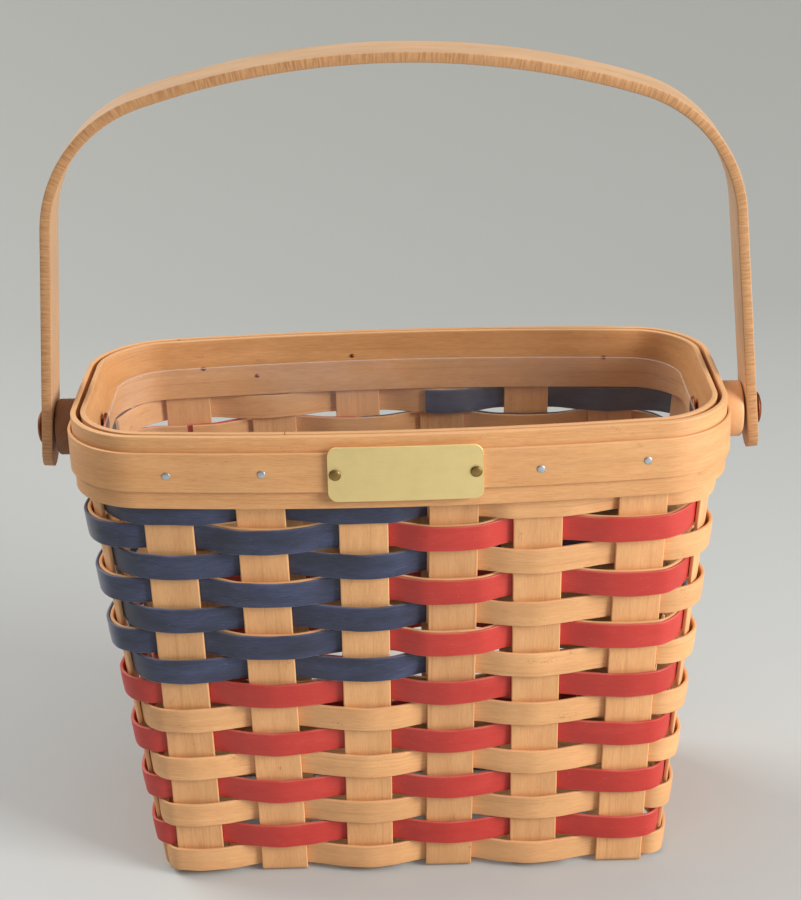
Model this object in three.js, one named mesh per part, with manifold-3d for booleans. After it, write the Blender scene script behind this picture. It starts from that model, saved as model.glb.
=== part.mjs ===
// A small oblong basket of woven wood splints: six long and three cross splints run under the
// base and up the walls as stakes, and fifteen rows of weavers go over one and under one.
// The upper rows carry blue and red dyed splints. A rim of bent bands holds the stake tops,
// a bent wood handle swings on two copper rivets, and a clear plastic liner stands inside.
// Millimetres, Z up, the front faces -Y, the origin is the middle of the base on the floor.
import * as THREE from "three";
import { mergeVertices } from "three/addons/utils/BufferGeometryUtils.js";
import Module from "manifold-3d";

const wasm = await Module();
wasm.setup();

// Driving dimensions of the wall, measured on the middle of the stakes.
const RIM_Z = 168.3;
const BASE_HALF_LENGTH = 85.8;
const RIM_HALF_LENGTH = 105.6;
const BASE_HALF_DEPTH = 40.8;
const DEPTH_FLARE = 0.4;
const RIM_BOW = 7.5;
const BASE_CORNER = 5;
const RIM_CORNER = 21.5;

// The stakes: six long splints, whose ends stand at the front and the back, and three cross ones.
const LONG_COUNT = 6;
const CROSS_COUNT = 3;
const BASE_END_MARGIN = 5.05;
const BASE_SIDE_MARGIN = 4.8;
const RIM_END_MARGIN = 17.7;
const RIM_STEP_Z = 140;
const FRONT_DRIFT = [1.3, 0.8, 3.1, 1.5, -2, 1.3];
const BASE_DRIFT = [-0.6, -0.8, 0, -1.8, -1.5, -0.6];

// Splints.
const STAKE_WIDTH = 15.9;
const STAKE_THICK = 1.4;
const LONG_TOP_Z = 155;
const CROSS_TOP_Z = 158.5;
const WEAVER_WIDTH = 8.8;
const WEAVER_THICK = 1.1;
const OVERLAY_THICK = 0.9;
const GAP = 0.3;
const ROWS = 15;
const TOP_ROW_Z = 141.9;
const BOTTOM_ROW_Z = 6.8;
const ROW_SAG = 1.22;

// How far the middle of a weaver stands off the middle of the wall.
const EDGE_OFF = 1.6;
const CROWN_OFF = 2.4;
const SECOND_OFF = 1.5;
const PAIR_OUT_EDGE = 1.55;
const PAIR_OUT_CROWN = 2.0;
const PAIR_IN_EDGE = -2.75;
const PAIR_IN_CROWN = -3.1;
const OVERLAY_STEP = 1.3;

// Base lattice.
const BASE_MID_Z = 1.55;
const BASE_WAVE = 0.85;
const BEND_RADIUS = 2;

// Rim bands: how far each stands off the middle of the wall. The outer band clears the top row
// at its lower edge and leans in to the stakes at its upper edge, except at the ends.
const INNER_BAND_OFF = -3.0;
const BAND_THICK = 1.8;
const OUTER_LOW_OFF = 2.75;
const OUTER_TOP_OFF = -0.6;
const OUTER_TOP_END_OFF = 0.4;
const TRIM_THICK = 1.05;
const LAP_HALF = 78;
const LAP_THIN = 0.5;
const LAP_THICK = 1.0;
const LAP_RAMP = 3;
const INNER_SEAM_X = -36;
const SEAM_GAP = 0.4;
const INNER_BAND_Z = [146.7, 168.3];
const OUTER_BAND_Z = [144.5, 168.3];
const TRIM_BAND_Z = [150.6, 163.4];

// Handle, rivets and spacers.
const PIVOT_Z = 154;
const HANDLE_WIDTH = 17.5;
const HANDLE_THICK = 3.5;
const HANDLE_TOP_Z = 278.4;
const HANDLE_CROWN_RADIUS = 262;
const HANDLE_SHOULDER_RADIUS = 47;
const HANDLE_ARM_ANGLE = 85;
const HANDLE_TAIL = 13.5;
const RIVET_SHAFT = 2.3;
const RIVET_HEAD = 5.5;
const RIVET_HEAD_THICK = 1.6;
const RIVET_INNER_HEAD = 4.5;
const RIVET_INNER_THICK = 1.2;
const SPACER_THICK = 6.4;
const SPACER_RADIUS = 9.5;

// Brass plate on the front of the rim.
const PLATE_X = 1.75;
const PLATE_Z = 156.7;
const PLATE_LENGTH = 48.9;
const PLATE_HEIGHT = 17.8;
const PLATE_THICK = 0.8;
const PLATE_CORNER = 3;
const PIN_INSET = 2.3;
const PIN_SHAFT = 1;
const PIN_HEAD = 1.9;
const PIN_HEAD_THICK = 0.7;

// Clear liner.
const LINER_INSET = 6;
const LINER_WALL = 0.8;
const LINER_BOTTOM_Z = 3.8;
const LINER_TOP_Z = 159.6;
const LINER_BASE_CORNER = 8;
const LINER_RIM_CORNER = 16.5;
const LINER_FOOT = 2;

const natural = new THREE.MeshStandardMaterial({ name: "splint_natural", color: 0xdfae74, roughness: 0.6 });
const blue = new THREE.MeshStandardMaterial({ name: "splint_blue", color: 0x353f5c, roughness: 0.6 });
const red = new THREE.MeshStandardMaterial({ name: "splint_red", color: 0xbd4344, roughness: 0.6 });
const rimWood = new THREE.MeshStandardMaterial({ name: "rim_wood", color: 0xe2b37a, roughness: 0.55 });
const handleWood = new THREE.MeshStandardMaterial({ name: "handle_wood", color: 0xe0ae72, roughness: 0.5 });
const brass = new THREE.MeshStandardMaterial({
  name: "brass_plate",
  color: 0xd8c176,
  metalness: 1,
  roughness: 0.35,
});
const copper = new THREE.MeshStandardMaterial({
  name: "copper_rivet",
  color: 0xb0684a,
  metalness: 1,
  roughness: 0.4,
});
const clear = new THREE.MeshStandardMaterial({
  name: "liner_clear",
  color: 0xe8eef0,
  roughness: 0.1,
  transparent: true,
  opacity: 0.35,
});

const basket = new THREE.Group();
basket.name = "splint_basket";

const mix = (a, b, t) => a + (b - a) * t;
const rad = (degrees) => (degrees * Math.PI) / 180;

function outlineOf(length, depth, corner, bow) {
  const flat = length - corner;
  const quarter = flat + (corner * Math.PI) / 2 + depth - corner;
  return { length, depth, corner, flat, quarter, bow };
}

// Size of the wall's outline at height z.
function outline(z) {
  const t = z / RIM_Z;
  return outlineOf(
    mix(BASE_HALF_LENGTH, RIM_HALF_LENGTH, t),
    BASE_HALF_DEPTH + DEPTH_FLARE * t,
    mix(BASE_CORNER, RIM_CORNER, t),
    RIM_BOW * t,
  );
}

// A point of the front right quarter of an outline, u millimetres from the middle of the front.
function quarterPoint(u, o) {
  const bowed = (x) => -(o.depth + o.bow * (1 - (x / o.length) ** 2));
  if (u <= o.flat) return [u, bowed(u)];
  const angle = (u - o.flat) / o.corner;
  if (angle < Math.PI / 2) {
    const x = o.flat + o.corner * Math.sin(angle);
    return [x, bowed(x) + o.corner * (1 - Math.cos(angle))];
  }
  return [o.length, u - o.quarter];
}

// Sides 0 front, 1 right, 2 back, 3 left; v runs from the side's middle, counter-clockwise
// as seen from above.
function wallPoint(side, v, z) {
  const turn = side >= 2 ? -1 : 1;
  const way = v < 0 ? -1 : 1;
  const o = outline(z);
  if (side % 2 === 0) {
    const [x, y] = quarterPoint(Math.abs(v), o);
    return new THREE.Vector3(turn * way * x, turn * y, z);
  }
  const [x, y] = quarterPoint(o.quarter - Math.abs(v), o);
  return new THREE.Vector3(turn * x, -turn * way * y, z);
}

function wallNormal(side, v, z) {
  const along = wallPoint(side, v + 0.05, z).sub(wallPoint(side, v - 0.05, z));
  const up = wallPoint(side, v, z + 0.5).sub(wallPoint(side, v, z - 0.5));
  return along.cross(up).normalize();
}

function offWall(side, v, z, off) {
  return wallPoint(side, v, z).addScaledVector(wallNormal(side, v, z), off);
}

// The eighteen stakes in loop order: front 1 to 6, right 1 to 3, back 6 to 1, left 3 to 1.
const longMiddle = (LONG_COUNT - 1) / 2;
const crossMiddle = (CROSS_COUNT - 1) / 2;
const baseReach = BASE_HALF_LENGTH - STAKE_WIDTH / 2 - BASE_END_MARGIN;
const rimReach = outline(RIM_STEP_Z).length - STAKE_WIDTH / 2 - RIM_END_MARGIN;
const baseStep = baseReach / longMiddle;
const rimStep = rimReach / longMiddle;
const sideStep = (BASE_HALF_DEPTH - STAKE_WIDTH / 2 - BASE_SIDE_MARGIN) / crossMiddle;
const stakes = [];
const baseX = (i) => baseStep * (i - longMiddle) + BASE_DRIFT[i];
function addLong(side, i, foot, drift) {
  const head = rimStep * (i - longMiddle) + drift;
  stakes.push({ side, at: (z) => mix(foot, head, z / RIM_STEP_Z) });
}
function addCross(side, i) {
  const place = sideStep * (i - crossMiddle);
  stakes.push({ side, at: () => place });
}
for (let i = 0; i < LONG_COUNT; i++) addLong(0, i, baseX(i), FRONT_DRIFT[i]);
for (let i = 0; i < CROSS_COUNT; i++) addCross(1, i);
for (let i = 0; i < LONG_COUNT; i++) addLong(2, i, -baseX(LONG_COUNT - 1 - i), 0);
for (let i = 0; i < CROSS_COUNT; i++) addCross(3, i);
const RIGHT = LONG_COUNT;
const BACK = RIGHT + CROSS_COUNT;
const LEFT = BACK + LONG_COUNT;
const ALL = LEFT + CROSS_COUNT;

function meshOf(name, material, positions, index) {
  const geometry = new THREE.BufferGeometry();
  geometry.setAttribute("position", new THREE.Float32BufferAttribute(positions, 3));
  geometry.setIndex(index);
  geometry.computeVertexNormals();
  const mesh = new THREE.Mesh(geometry, material);
  mesh.name = name;
  basket.add(mesh);
  return mesh;
}

// A bent strip. Each station holds matching points of its inner and outer face across the width.
function strip(name, material, stations) {
  const across = stations[0].inner.length;
  const positions = [];
  for (const station of stations) {
    for (const p of station.outer) positions.push(p.x, p.y, p.z);
    for (const p of station.inner) positions.push(p.x, p.y, p.z);
  }
  const outer = (i, j) => i * 2 * across + j;
  const inner = (i, j) => i * 2 * across + across + j;
  const index = [];
  const quad = (a, b, c, d) => index.push(a, b, c, a, c, d);
  const last = stations.length - 1;
  for (let i = 0; i < last; i++) {
    for (let j = 0; j < across - 1; j++) {
      quad(outer(i, j), outer(i + 1, j), outer(i + 1, j + 1), outer(i, j + 1));
      quad(inner(i, j), inner(i, j + 1), inner(i + 1, j + 1), inner(i + 1, j));
    }
    const top = across - 1;
    quad(outer(i, top), outer(i + 1, top), inner(i + 1, top), inner(i, top));
    quad(outer(i, 0), inner(i, 0), inner(i + 1, 0), outer(i + 1, 0));
  }
  for (let j = 0; j < across - 1; j++) {
    quad(outer(0, j), outer(0, j + 1), inner(0, j + 1), inner(0, j));
    quad(outer(last, j), inner(last, j), inner(last, j + 1), outer(last, j + 1));
  }
  return meshOf(name, material, positions, index);
}

// A closed body through matching rings of points, with a pole at each end.
function ringed(name, material, rings, firstPole, lastPole) {
  const sides = rings[0].length;
  const positions = [];
  for (const ring of rings) for (const p of ring) positions.push(p.x, p.y, p.z);
  const pole = rings.length * sides;
  positions.push(firstPole.x, firstPole.y, firstPole.z);
  positions.push(lastPole.x, lastPole.y, lastPole.z);
  const index = [];
  for (let k = 0; k < sides; k++) {
    const n = (k + 1) % sides;
    index.push(pole, n, k);
    for (let i = 0; i < rings.length - 1; i++) {
      const a = i * sides;
      const b = a + sides;
      index.push(a + k, a + n, b + n, a + k, b + n, b + k);
    }
    const top = (rings.length - 1) * sides;
    index.push(pole + 1, top + k, top + n);
  }
  return meshOf(name, material, positions, index);
}

// A round body: the profile gives distance along the axis and radius, from pole to pole.
function turned(name, material, profile, origin, axis, sides) {
  const a = axis.clone().normalize();
  const e1 = new THREE.Vector3(0, 0, 1).addScaledVector(a, -a.z).normalize();
  const e2 = a.clone().cross(e1);
  const at = (along) => origin.clone().addScaledVector(a, along);
  const rings = profile.slice(1, -1).map(([along, r]) => {
    const ring = [];
    for (let k = 0; k < sides; k++) {
      const angle = (2 * Math.PI * k) / sides;
      ring.push(at(along).addScaledVector(e1, r * Math.cos(angle)).addScaledVector(e2, r * Math.sin(angle)));
    }
    return ring;
  });
  return ringed(name, material, rings, at(profile[0][0]), at(profile[profile.length - 1][0]));
}

function solidOf(geometry) {
  const bare = geometry.clone();
  bare.deleteAttribute("normal");
  bare.deleteAttribute("uv");
  const merged = mergeVertices(bare, 1e-4);
  return new wasm.Manifold(
    new wasm.Mesh({
      numProp: 3,
      vertProperties: new Float32Array(merged.attributes.position.array),
      triVerts: new Uint32Array(merged.index.array),
    }),
  );
}

// Takes round holes out of a piece; each hole is { from, to, radius } with a straight axis.
function drill(mesh, holes) {
  let solid = solidOf(mesh.geometry);
  for (const hole of holes) {
    const axis = hole.to.clone().sub(hole.from);
    const tool = new THREE.CylinderGeometry(hole.radius, hole.radius, axis.length(), 24);
    const turn = new THREE.Quaternion().setFromUnitVectors(
      new THREE.Vector3(0, 1, 0),
      axis.clone().normalize(),
    );
    tool.applyQuaternion(turn);
    const middle = hole.from.clone().add(hole.to).multiplyScalar(0.5);
    tool.translate(middle.x, middle.y, middle.z);
    solid = solid.subtract(solidOf(tool));
  }
  const cut = solid.getMesh();
  const positions = [];
  for (let i = 0; i < cut.numVert; i++) {
    for (let c = 0; c < 3; c++) positions.push(cut.vertProperties[i * cut.numProp + c]);
  }
  const geometry = new THREE.BufferGeometry();
  geometry.setAttribute("position", new THREE.Float32BufferAttribute(positions, 3));
  geometry.setIndex(Array.from(cut.triVerts));
  geometry.computeVertexNormals();
  mesh.geometry = geometry;
}

// Along the rivet, from the inside of the rim outwards: the small head against the inner band,
// the spacer against the trim band, the handle's arm against the spacer, the large head.
const endX = (z, off) => offWall(1, 0, z, off).x;
const armLean = Math.tan(rad(90 - HANDLE_ARM_ANGLE));
const armHalf = HANDLE_THICK / 2 / Math.sin(rad(HANDLE_ARM_ANGLE));
const trimOuter = outerOff(1, TRIM_BAND_Z[1]) + BAND_THICK + GAP + TRIM_THICK;
const innerHeadX = endX(PIVOT_Z - RIVET_INNER_HEAD, INNER_BAND_OFF) - GAP;
const spacerIn = endX(TRIM_BAND_Z[1], trimOuter) + GAP;
const spacerOut = spacerIn + SPACER_THICK;
const armX = spacerOut + SPACER_RADIUS * armLean + armHalf + GAP;
const outerHeadX = armX + armHalf + RIVET_HEAD * armLean + GAP;
const rivetHole = (side) => ({
  from: new THREE.Vector3(side * (innerHeadX - RIVET_HEAD), 0, PIVOT_Z),
  to: new THREE.Vector3(side * (outerHeadX + RIVET_HEAD), 0, PIVOT_Z),
  radius: RIVET_SHAFT + GAP,
});

// One splint: down one wall, over and under its crossings in the base, and up the other wall.
function splint(name, startStake, endStake, baseStations, fractions, topZ) {
  const stations = [];
  const half = STAKE_THICK / 2;
  const push = (points, normals) => {
    stations.push({
      inner: points.map((p, j) => p.clone().addScaledVector(normals[j], -half)),
      outer: points.map((p, j) => p.clone().addScaledVector(normals[j], half)),
    });
  };
  const wallStation = (stake, signs, z) => {
    const v = signs.map((f) => stake.at(z) + (f * STAKE_WIDTH) / 2);
    push(
      v.map((at) => wallPoint(stake.side, at, z)),
      v.map((at) => wallNormal(stake.side, at, z)),
    );
  };
  const bendStation = (stake, signs, floor, degrees) => {
    const z = floor + BEND_RADIUS;
    const s = Math.sin(rad(degrees));
    const c = Math.cos(rad(degrees));
    const points = [];
    const normals = [];
    for (const f of signs) {
      const v = stake.at(z) + (f * STAKE_WIDTH) / 2;
      const flat = wallNormal(stake.side, v, z).setZ(0).normalize();
      const normal = flat.clone().multiplyScalar(s).add(new THREE.Vector3(0, 0, -c));
      const centre = wallPoint(stake.side, v, z).addScaledVector(flat, -BEND_RADIUS);
      points.push(centre.addScaledVector(normal, BEND_RADIUS));
      normals.push(normal);
    }
    push(points, normals);
  };
  const backwards = fractions.map((f) => -f);
  const firstFloor = baseStations[0].z;
  const lastFloor = baseStations[baseStations.length - 1].z;
  const plain = [1, 0.88, 0.66, 0.44, 0.22, 0.075];
  const curved = [1, 0.88, 0.77, 0.66, 0.55, 0.44, 0.33, 0.22, 0.14, 0.075];
  const heights = (fractions.length > 2 ? curved : plain).map((t) => t * topZ);
  for (const z of heights) wallStation(startStake, fractions, z);
  for (const degrees of [80, 50, 20]) bendStation(startStake, fractions, firstFloor, degrees);
  for (const station of baseStations) {
    push(
      fractions.map((f) => station.point(f)),
      fractions.map(() => new THREE.Vector3(0, 0, -1)),
    );
  }
  for (const degrees of [20, 50, 80]) bendStation(endStake, backwards, lastFloor, degrees);
  for (const z of [...heights].reverse()) wallStation(endStake, backwards, z);
  return strip(name, natural, stations);
}

const over = BASE_MID_Z + BASE_WAVE;
const under = BASE_MID_Z - BASE_WAVE;
const EDGES = [-1, 1];
const EDGES_AND_MIDDLE = [-1, 0, 1];

for (let i = 0; i < LONG_COUNT; i++) {
  const x = baseX(i);
  const stations = [];
  for (let j = 0; j < CROSS_COUNT; j++) {
    const z = (i + j) % 2 === 0 ? over : under;
    for (const edge of [-1, 1]) {
      const y = sideStep * (j - crossMiddle) + (edge * STAKE_WIDTH) / 2;
      stations.push({ z, point: (f) => new THREE.Vector3(x + (f * STAKE_WIDTH) / 2, y, z) });
    }
  }
  const fractions = i === 0 || i === LONG_COUNT - 1 ? EDGES_AND_MIDDLE : EDGES;
  splint("stake_long_" + (i + 1), stakes[i], stakes[LEFT - 1 - i], stations, fractions, LONG_TOP_Z);
}

["front", "middle", "back"].forEach((place, j) => {
  const y = sideStep * (j - crossMiddle);
  const stations = [];
  for (let i = 0; i < LONG_COUNT; i++) {
    const z = (i + j) % 2 === 0 ? under : over;
    for (const edge of [-1, 1]) {
      const x = baseX(i) + (edge * STAKE_WIDTH) / 2;
      stations.push({ z, point: (f) => new THREE.Vector3(x, y - (f * STAKE_WIDTH) / 2, z) });
    }
  }
  const fractions = j === 1 ? EDGES : EDGES_AND_MIDDLE;
  const from = stakes[ALL - 1 - j];
  const to = stakes[RIGHT + j];
  const mesh = splint("stake_cross_" + place, from, to, stations, fractions, CROSS_TOP_Z);
  if (j === 1) drill(mesh, [rivetHole(-1), rivetHole(1)]);
});

// Rows count from the bottom, 1 to 15. Odd rows pass outside the even places of the loop.
const rowZ = (row) => {
  const t = (row - 1) / (ROWS - 1);
  return mix(BOTTOM_ROW_Z, TOP_ROW_Z, t) - 4 * ROW_SAG * t * (1 - t);
};
const isOutside = (row, stake) => (row + stake) % 2 === 1;

const singleOff = (row, stake) => {
  if (!isOutside(row, stake)) return [-EDGE_OFF, -CROWN_OFF];
  return row === ROWS ? [EDGE_OFF, EDGE_OFF] : [EDGE_OFF, CROWN_OFF];
};
const pairOff = (row, stake) => {
  return isOutside(row, stake) ? [PAIR_OUT_EDGE, PAIR_OUT_CROWN] : [PAIR_IN_EDGE, PAIR_IN_CROWN];
};

// A weaver of one row from stake number start to stake number end along the loop. offsAt(n) gives
// its offsets over the edges and the middle of the nth stake; startAt and endAt are places on the
// first and the last stake, where -1 and 1 are the stake's edges.
function weaver(name, material, row, start, end, thick, offsAt, startAt, endAt) {
  const half = WEAVER_WIDTH / 2;
  const z = rowZ(row);
  const stations = [];
  const push = (side, at, off) => {
    const inner = [];
    const outer = [];
    for (const height of [z - half, z + half]) {
      inner.push(offWall(side, at(height), height, off - thick / 2));
      outer.push(offWall(side, at(height), height, off + thick / 2));
    }
    stations.push({ inner, outer });
  };
  const reach = STAKE_WIDTH / 2;
  for (let n = start; n <= end; n++) {
    const stake = stakes[n % ALL];
    const [edge, crown] = offsAt(n);
    const first = n === start ? startAt : -9;
    const final = n === end ? endAt : 9;
    const knots = [-1, 0, 1].filter((f) => f > first + 0.2 && f < final - 0.2);
    if (n === start) knots.unshift(startAt);
    if (n === end) knots.push(endAt);
    for (const f of knots) {
      const off = mix(crown, edge, Math.min(Math.abs(f), 1));
      push(stake.side, (height) => stake.at(height) + f * reach, off);
    }
    if (n === end) break;
    const next = stakes[(n + 1) % ALL];
    if (next.side === stake.side) continue;
    const nextEdge = offsAt(n + 1)[0];
    for (const t of [0.22, 0.5, 0.78]) {
      const at = (height) => {
        const far = outline(height).quarter + next.at(height) - reach;
        return mix(stake.at(height) + reach, far, t);
      };
      push(stake.side, at, mix(edge, nextEdge, t));
    }
  }
  return strip(name, material, stations);
}

// Where a piece ends behind a stake that another piece starts behind, it lies one layer further in.
const startPast = -1 - 0.5 / (STAKE_WIDTH / 2);
const endShort = 1 - 2 / (STAKE_WIDTH / 2);
const butt = 1 / (STAKE_WIDTH / 2);

function spliced(name, material, row, start, end) {
  const offsAt = (n) => {
    const [edge, crown] = singleOff(row, n % ALL);
    return n === end ? [edge - SECOND_OFF, crown - SECOND_OFF] : [edge, crown];
  };
  return weaver(name, material, row, start, end, WEAVER_THICK, offsAt, startPast, endShort);
}

function butted(name, material, row, start, end, thick, step) {
  const offsAt = (n) => pairOff(row, n % ALL).map((off) => off + step);
  return weaver(name, material, row, start, end, thick, offsAt, butt, -butt);
}

const two = (row) => String(row).padStart(2, "0");
for (let row = 1; row <= ROWS; row++) {
  const label = "weaver_" + two(row);
  if (row <= 8) {
    const seam = row % 2 === 1 ? BACK + 2 : BACK + 3;
    const colour = row % 2 === 1 ? natural : red;
    spliced(label, colour, row, seam, seam + ALL);
  } else if (row % 2 === 1) {
    spliced(label + "_blue_front", blue, row, LEFT, ALL + 3);
    spliced(label + "_plain_front", natural, row, 3, RIGHT + 1);
    spliced(label + "_blue_back", blue, row, RIGHT + 1, BACK + 2);
    spliced(label + "_plain_back", natural, row, BACK + 2, LEFT);
  } else {
    butted(label + "_plain", natural, row, BACK + 5, BACK + 5 + ALL, WEAVER_THICK, 0);
    butted(label + "_blue_front", blue, row, LEFT + 1, ALL + 2, OVERLAY_THICK, OVERLAY_STEP);
    butted(label + "_red_front", red, row, 2, RIGHT, OVERLAY_THICK, OVERLAY_STEP);
    butted(label + "_blue_back", blue, row, RIGHT, BACK + 3, OVERLAY_THICK, OVERLAY_STEP);
    butted(label + "_red_back", red, row, BACK + 3, LEFT + 1, OVERLAY_THICK, OVERLAY_STEP);
  }
}

// Places round the rim, counted in quarters: 0 the middle of the front, 1 right, 2 back, 3 left.
function rimPlaces(start, end) {
  const rim = outline(RIM_Z);
  const flat = rim.flat / rim.quarter;
  const corner = (rim.corner * Math.PI) / 2 / rim.quarter;
  const stops = [0, 0.2, 0.4, flat];
  for (let k = 1; k <= 6; k++) stops.push(flat + (corner * k) / 6);
  const places = [start];
  for (let quarter = -1; quarter < 8; quarter++) {
    const turned = quarter % 2 === 0 ? stops : stops.map((t) => 1 - t).reverse();
    for (const t of turned) {
      const place = quarter + t;
      const isNew = place > places[places.length - 1] + 0.012;
      if (isNew && place < end - 0.012) places.push(place);
    }
  }
  places.push(end);
  return places;
}

function rimPoint(place, z, off) {
  const middle = 2 * Math.round(place / 2);
  return offWall(middle % 4 === 0 ? 0 : 2, (place - middle) * outline(z).quarter, z, off);
}

// The inner face of the outer band: it closes on the stakes at the front and the back.
function outerOff(place, z) {
  const end = Math.sin((place * Math.PI) / 2) ** 2;
  const top = mix(OUTER_TOP_OFF, OUTER_TOP_END_OFF, end * end);
  const t = (z - OUTER_BAND_Z[0]) / (OUTER_BAND_Z[1] - OUTER_BAND_Z[0]);
  return mix(OUTER_LOW_OFF, top, t);
}
const trimOff = (place, z) => outerOff(place, z) + BAND_THICK + GAP;
const plateOff = (place, z) => trimOff(place, z) + TRIM_THICK + GAP;

function band(name, places, heights, facesAt) {
  const stations = places.map((place) => {
    const inner = [];
    const outer = [];
    for (const z of heights) {
      const [inside, outside] = facesAt(place, z);
      inner.push(rimPoint(place, z, inside));
      outer.push(rimPoint(place, z, outside));
    }
    return { inner, outer };
  });
  return strip(name, rimWood, stations);
}

const quarterLength = outline(RIM_Z).quarter;

// The inner band's ends meet on the inside of the front.
const innerSeam = INNER_SEAM_X / quarterLength;
const innerPlaces = rimPlaces(innerSeam, innerSeam + 4 - SEAM_GAP / quarterLength);
const innerFaces = () => [INNER_BAND_OFF, INNER_BAND_OFF + BAND_THICK];
const innerBand = band("rim_inner_band", innerPlaces, INNER_BAND_Z, innerFaces);
drill(innerBand, [rivetHole(-1), rivetHole(1)]);

// The outer band's thinned ends lap over the whole back.
const lapStart = 2 - LAP_HALF / quarterLength;
const lapEnd = 2 + LAP_HALF / quarterLength;
const ramp = LAP_RAMP / quarterLength;
const outerPlaces = rimPlaces(lapStart, lapEnd + 4);
for (const place of [lapEnd, lapEnd + ramp, lapStart + 4 - ramp, lapStart + 4]) outerPlaces.push(place);
outerPlaces.sort((a, b) => a - b);
function outerFaces(place, z) {
  const inside = outerOff(place, z);
  const outside = inside + BAND_THICK;
  if (place <= lapEnd) {
    const t = (place - lapStart) / (lapEnd - lapStart);
    return [outside - mix(LAP_THIN, LAP_THICK, t), outside];
  }
  if (place >= lapStart + 4) {
    const t = (place - lapStart - 4) / (lapEnd - lapStart);
    return [inside, inside + mix(LAP_THICK, LAP_THIN, t)];
  }
  return [inside, outside];
}
const outerBand = band("rim_outer_band", outerPlaces, OUTER_BAND_Z, outerFaces);
drill(outerBand, [rivetHole(-1), rivetHole(1)]);

// The trim band's ends meet under the brass plate.
const pins = [-1, 1].map((way) => {
  const v = PLATE_X + way * (PLATE_LENGTH / 2 - PIN_INSET);
  const place = v / outline(PLATE_Z).quarter;
  return {
    foot: wallPoint(0, v, PLATE_Z),
    axis: wallNormal(0, v, PLATE_Z),
    trim: trimOff(place, PLATE_Z),
    plate: plateOff(place, PLATE_Z),
  };
});
const pinHole = (pin) => ({
  from: pin.foot.clone().addScaledVector(pin.axis, pin.trim - 0.2),
  to: pin.foot.clone().addScaledVector(pin.axis, pin.plate + 3),
  radius: PIN_SHAFT + GAP,
});
const trimSeam = (PLATE_X + 0.2) / quarterLength;
const trimPlaces = rimPlaces(trimSeam, trimSeam + 4 - SEAM_GAP / quarterLength);
const trimFaces = (place, z) => [trimOff(place, z), trimOff(place, z) + TRIM_THICK];
const trimBand = band("rim_trim_band", trimPlaces, TRIM_BAND_Z, trimFaces);
drill(trimBand, [rivetHole(-1), rivetHole(1), ...pins.map(pinHole)]);

// The plate is a thin brass oblong with rounded corners, bent to the front of the trim band.
const plateStations = [];
for (const edge of [-1, 1]) {
  const insets = [0, 0.4, 1.2, PLATE_CORNER];
  if (edge === 1) insets.reverse();
  for (const inset of insets) {
    const drop = PLATE_CORNER - Math.sqrt(PLATE_CORNER ** 2 - (PLATE_CORNER - inset) ** 2);
    const v = PLATE_X + edge * (PLATE_LENGTH / 2 - inset);
    const heights = [-1, 1].map((way) => PLATE_Z + way * (PLATE_HEIGHT / 2 - drop));
    plateStations.push({
      inner: heights.map((z) => offWall(0, v, z, plateOff(v / outline(z).quarter, z))),
      outer: heights.map((z) => offWall(0, v, z, plateOff(v / outline(z).quarter, z) + PLATE_THICK)),
    });
  }
}
drill(strip("name_plate", brass, plateStations), pins.map(pinHole));

pins.forEach((pin, i) => {
  const head = pin.plate + PLATE_THICK + GAP;
  const profile = [
    [pin.trim + 0.1, 0],
    [pin.trim + 0.1, PIN_SHAFT],
    [head, PIN_SHAFT],
    [head, PIN_HEAD],
    [head + PIN_HEAD_THICK * 0.6, PIN_HEAD * 0.84],
    [head + PIN_HEAD_THICK, 0],
  ];
  turned("plate_pin_" + (i === 0 ? "left" : "right"), brass, profile, pin.foot, pin.axis, 16);
});

// The handle: straight arms, tight shoulders and a long shallow crown, in the plane y = 0. The
// crown ends at the angle at which the shoulders bring the arms down to the rivets.
const armAngle = rad(HANDLE_ARM_ANGLE);
const crownCentreZ = HANDLE_TOP_Z - HANDLE_CROWN_RADIUS;
const radiusStep = HANDLE_CROWN_RADIUS - HANDLE_SHOULDER_RADIUS;
const armRise = crownCentreZ + HANDLE_SHOULDER_RADIUS * Math.cos(armAngle) - PIVOT_Z;
const spread = armX - HANDLE_SHOULDER_RADIUS * Math.sin(armAngle) - armRise * armLean;
const crownEnd = Math.asin(spread / (radiusStep * Math.hypot(1, armLean))) - Math.atan(armLean);
const shoulder = {
  x: radiusStep * Math.sin(crownEnd),
  z: crownCentreZ + radiusStep * Math.cos(crownEnd),
};
const armTopZ = shoulder.z + HANDLE_SHOULDER_RADIUS * Math.cos(armAngle);
const rightHalf = [];
const addArm = (z, half) => {
  rightHalf.push({ x: armX + (PIVOT_Z - z) * armLean, z, angle: armAngle, half });
};
const fullHalf = HANDLE_WIDTH / 2;
for (const s of [0.2, 1, 2.6, 5, fullHalf]) {
  addArm(PIVOT_Z - HANDLE_TAIL + s, Math.sqrt(fullHalf ** 2 - (fullHalf - s) ** 2));
}
const armFoot = PIVOT_Z - HANDLE_TAIL + fullHalf;
for (const t of [0.25, 0.6]) addArm(mix(armFoot, armTopZ, t), fullHalf);
for (let k = 0; k <= 7; k++) {
  const angle = mix(armAngle, crownEnd, k / 7);
  const x = shoulder.x + HANDLE_SHOULDER_RADIUS * Math.sin(angle);
  const z = shoulder.z + HANDLE_SHOULDER_RADIUS * Math.cos(angle);
  rightHalf.push({ x, z, angle, half: fullHalf });
}
for (const t of [0.75, 0.5, 0.25, 0]) {
  const angle = t * crownEnd;
  const x = HANDLE_CROWN_RADIUS * Math.sin(angle);
  const z = crownCentreZ + HANDLE_CROWN_RADIUS * Math.cos(angle);
  rightHalf.push({ x, z, angle, half: fullHalf });
}
const leftHalf = rightHalf.map((p) => ({ ...p, x: -p.x, angle: -p.angle }));
const handlePath = [...leftHalf, ...rightHalf.slice(0, -1).reverse()];
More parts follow.
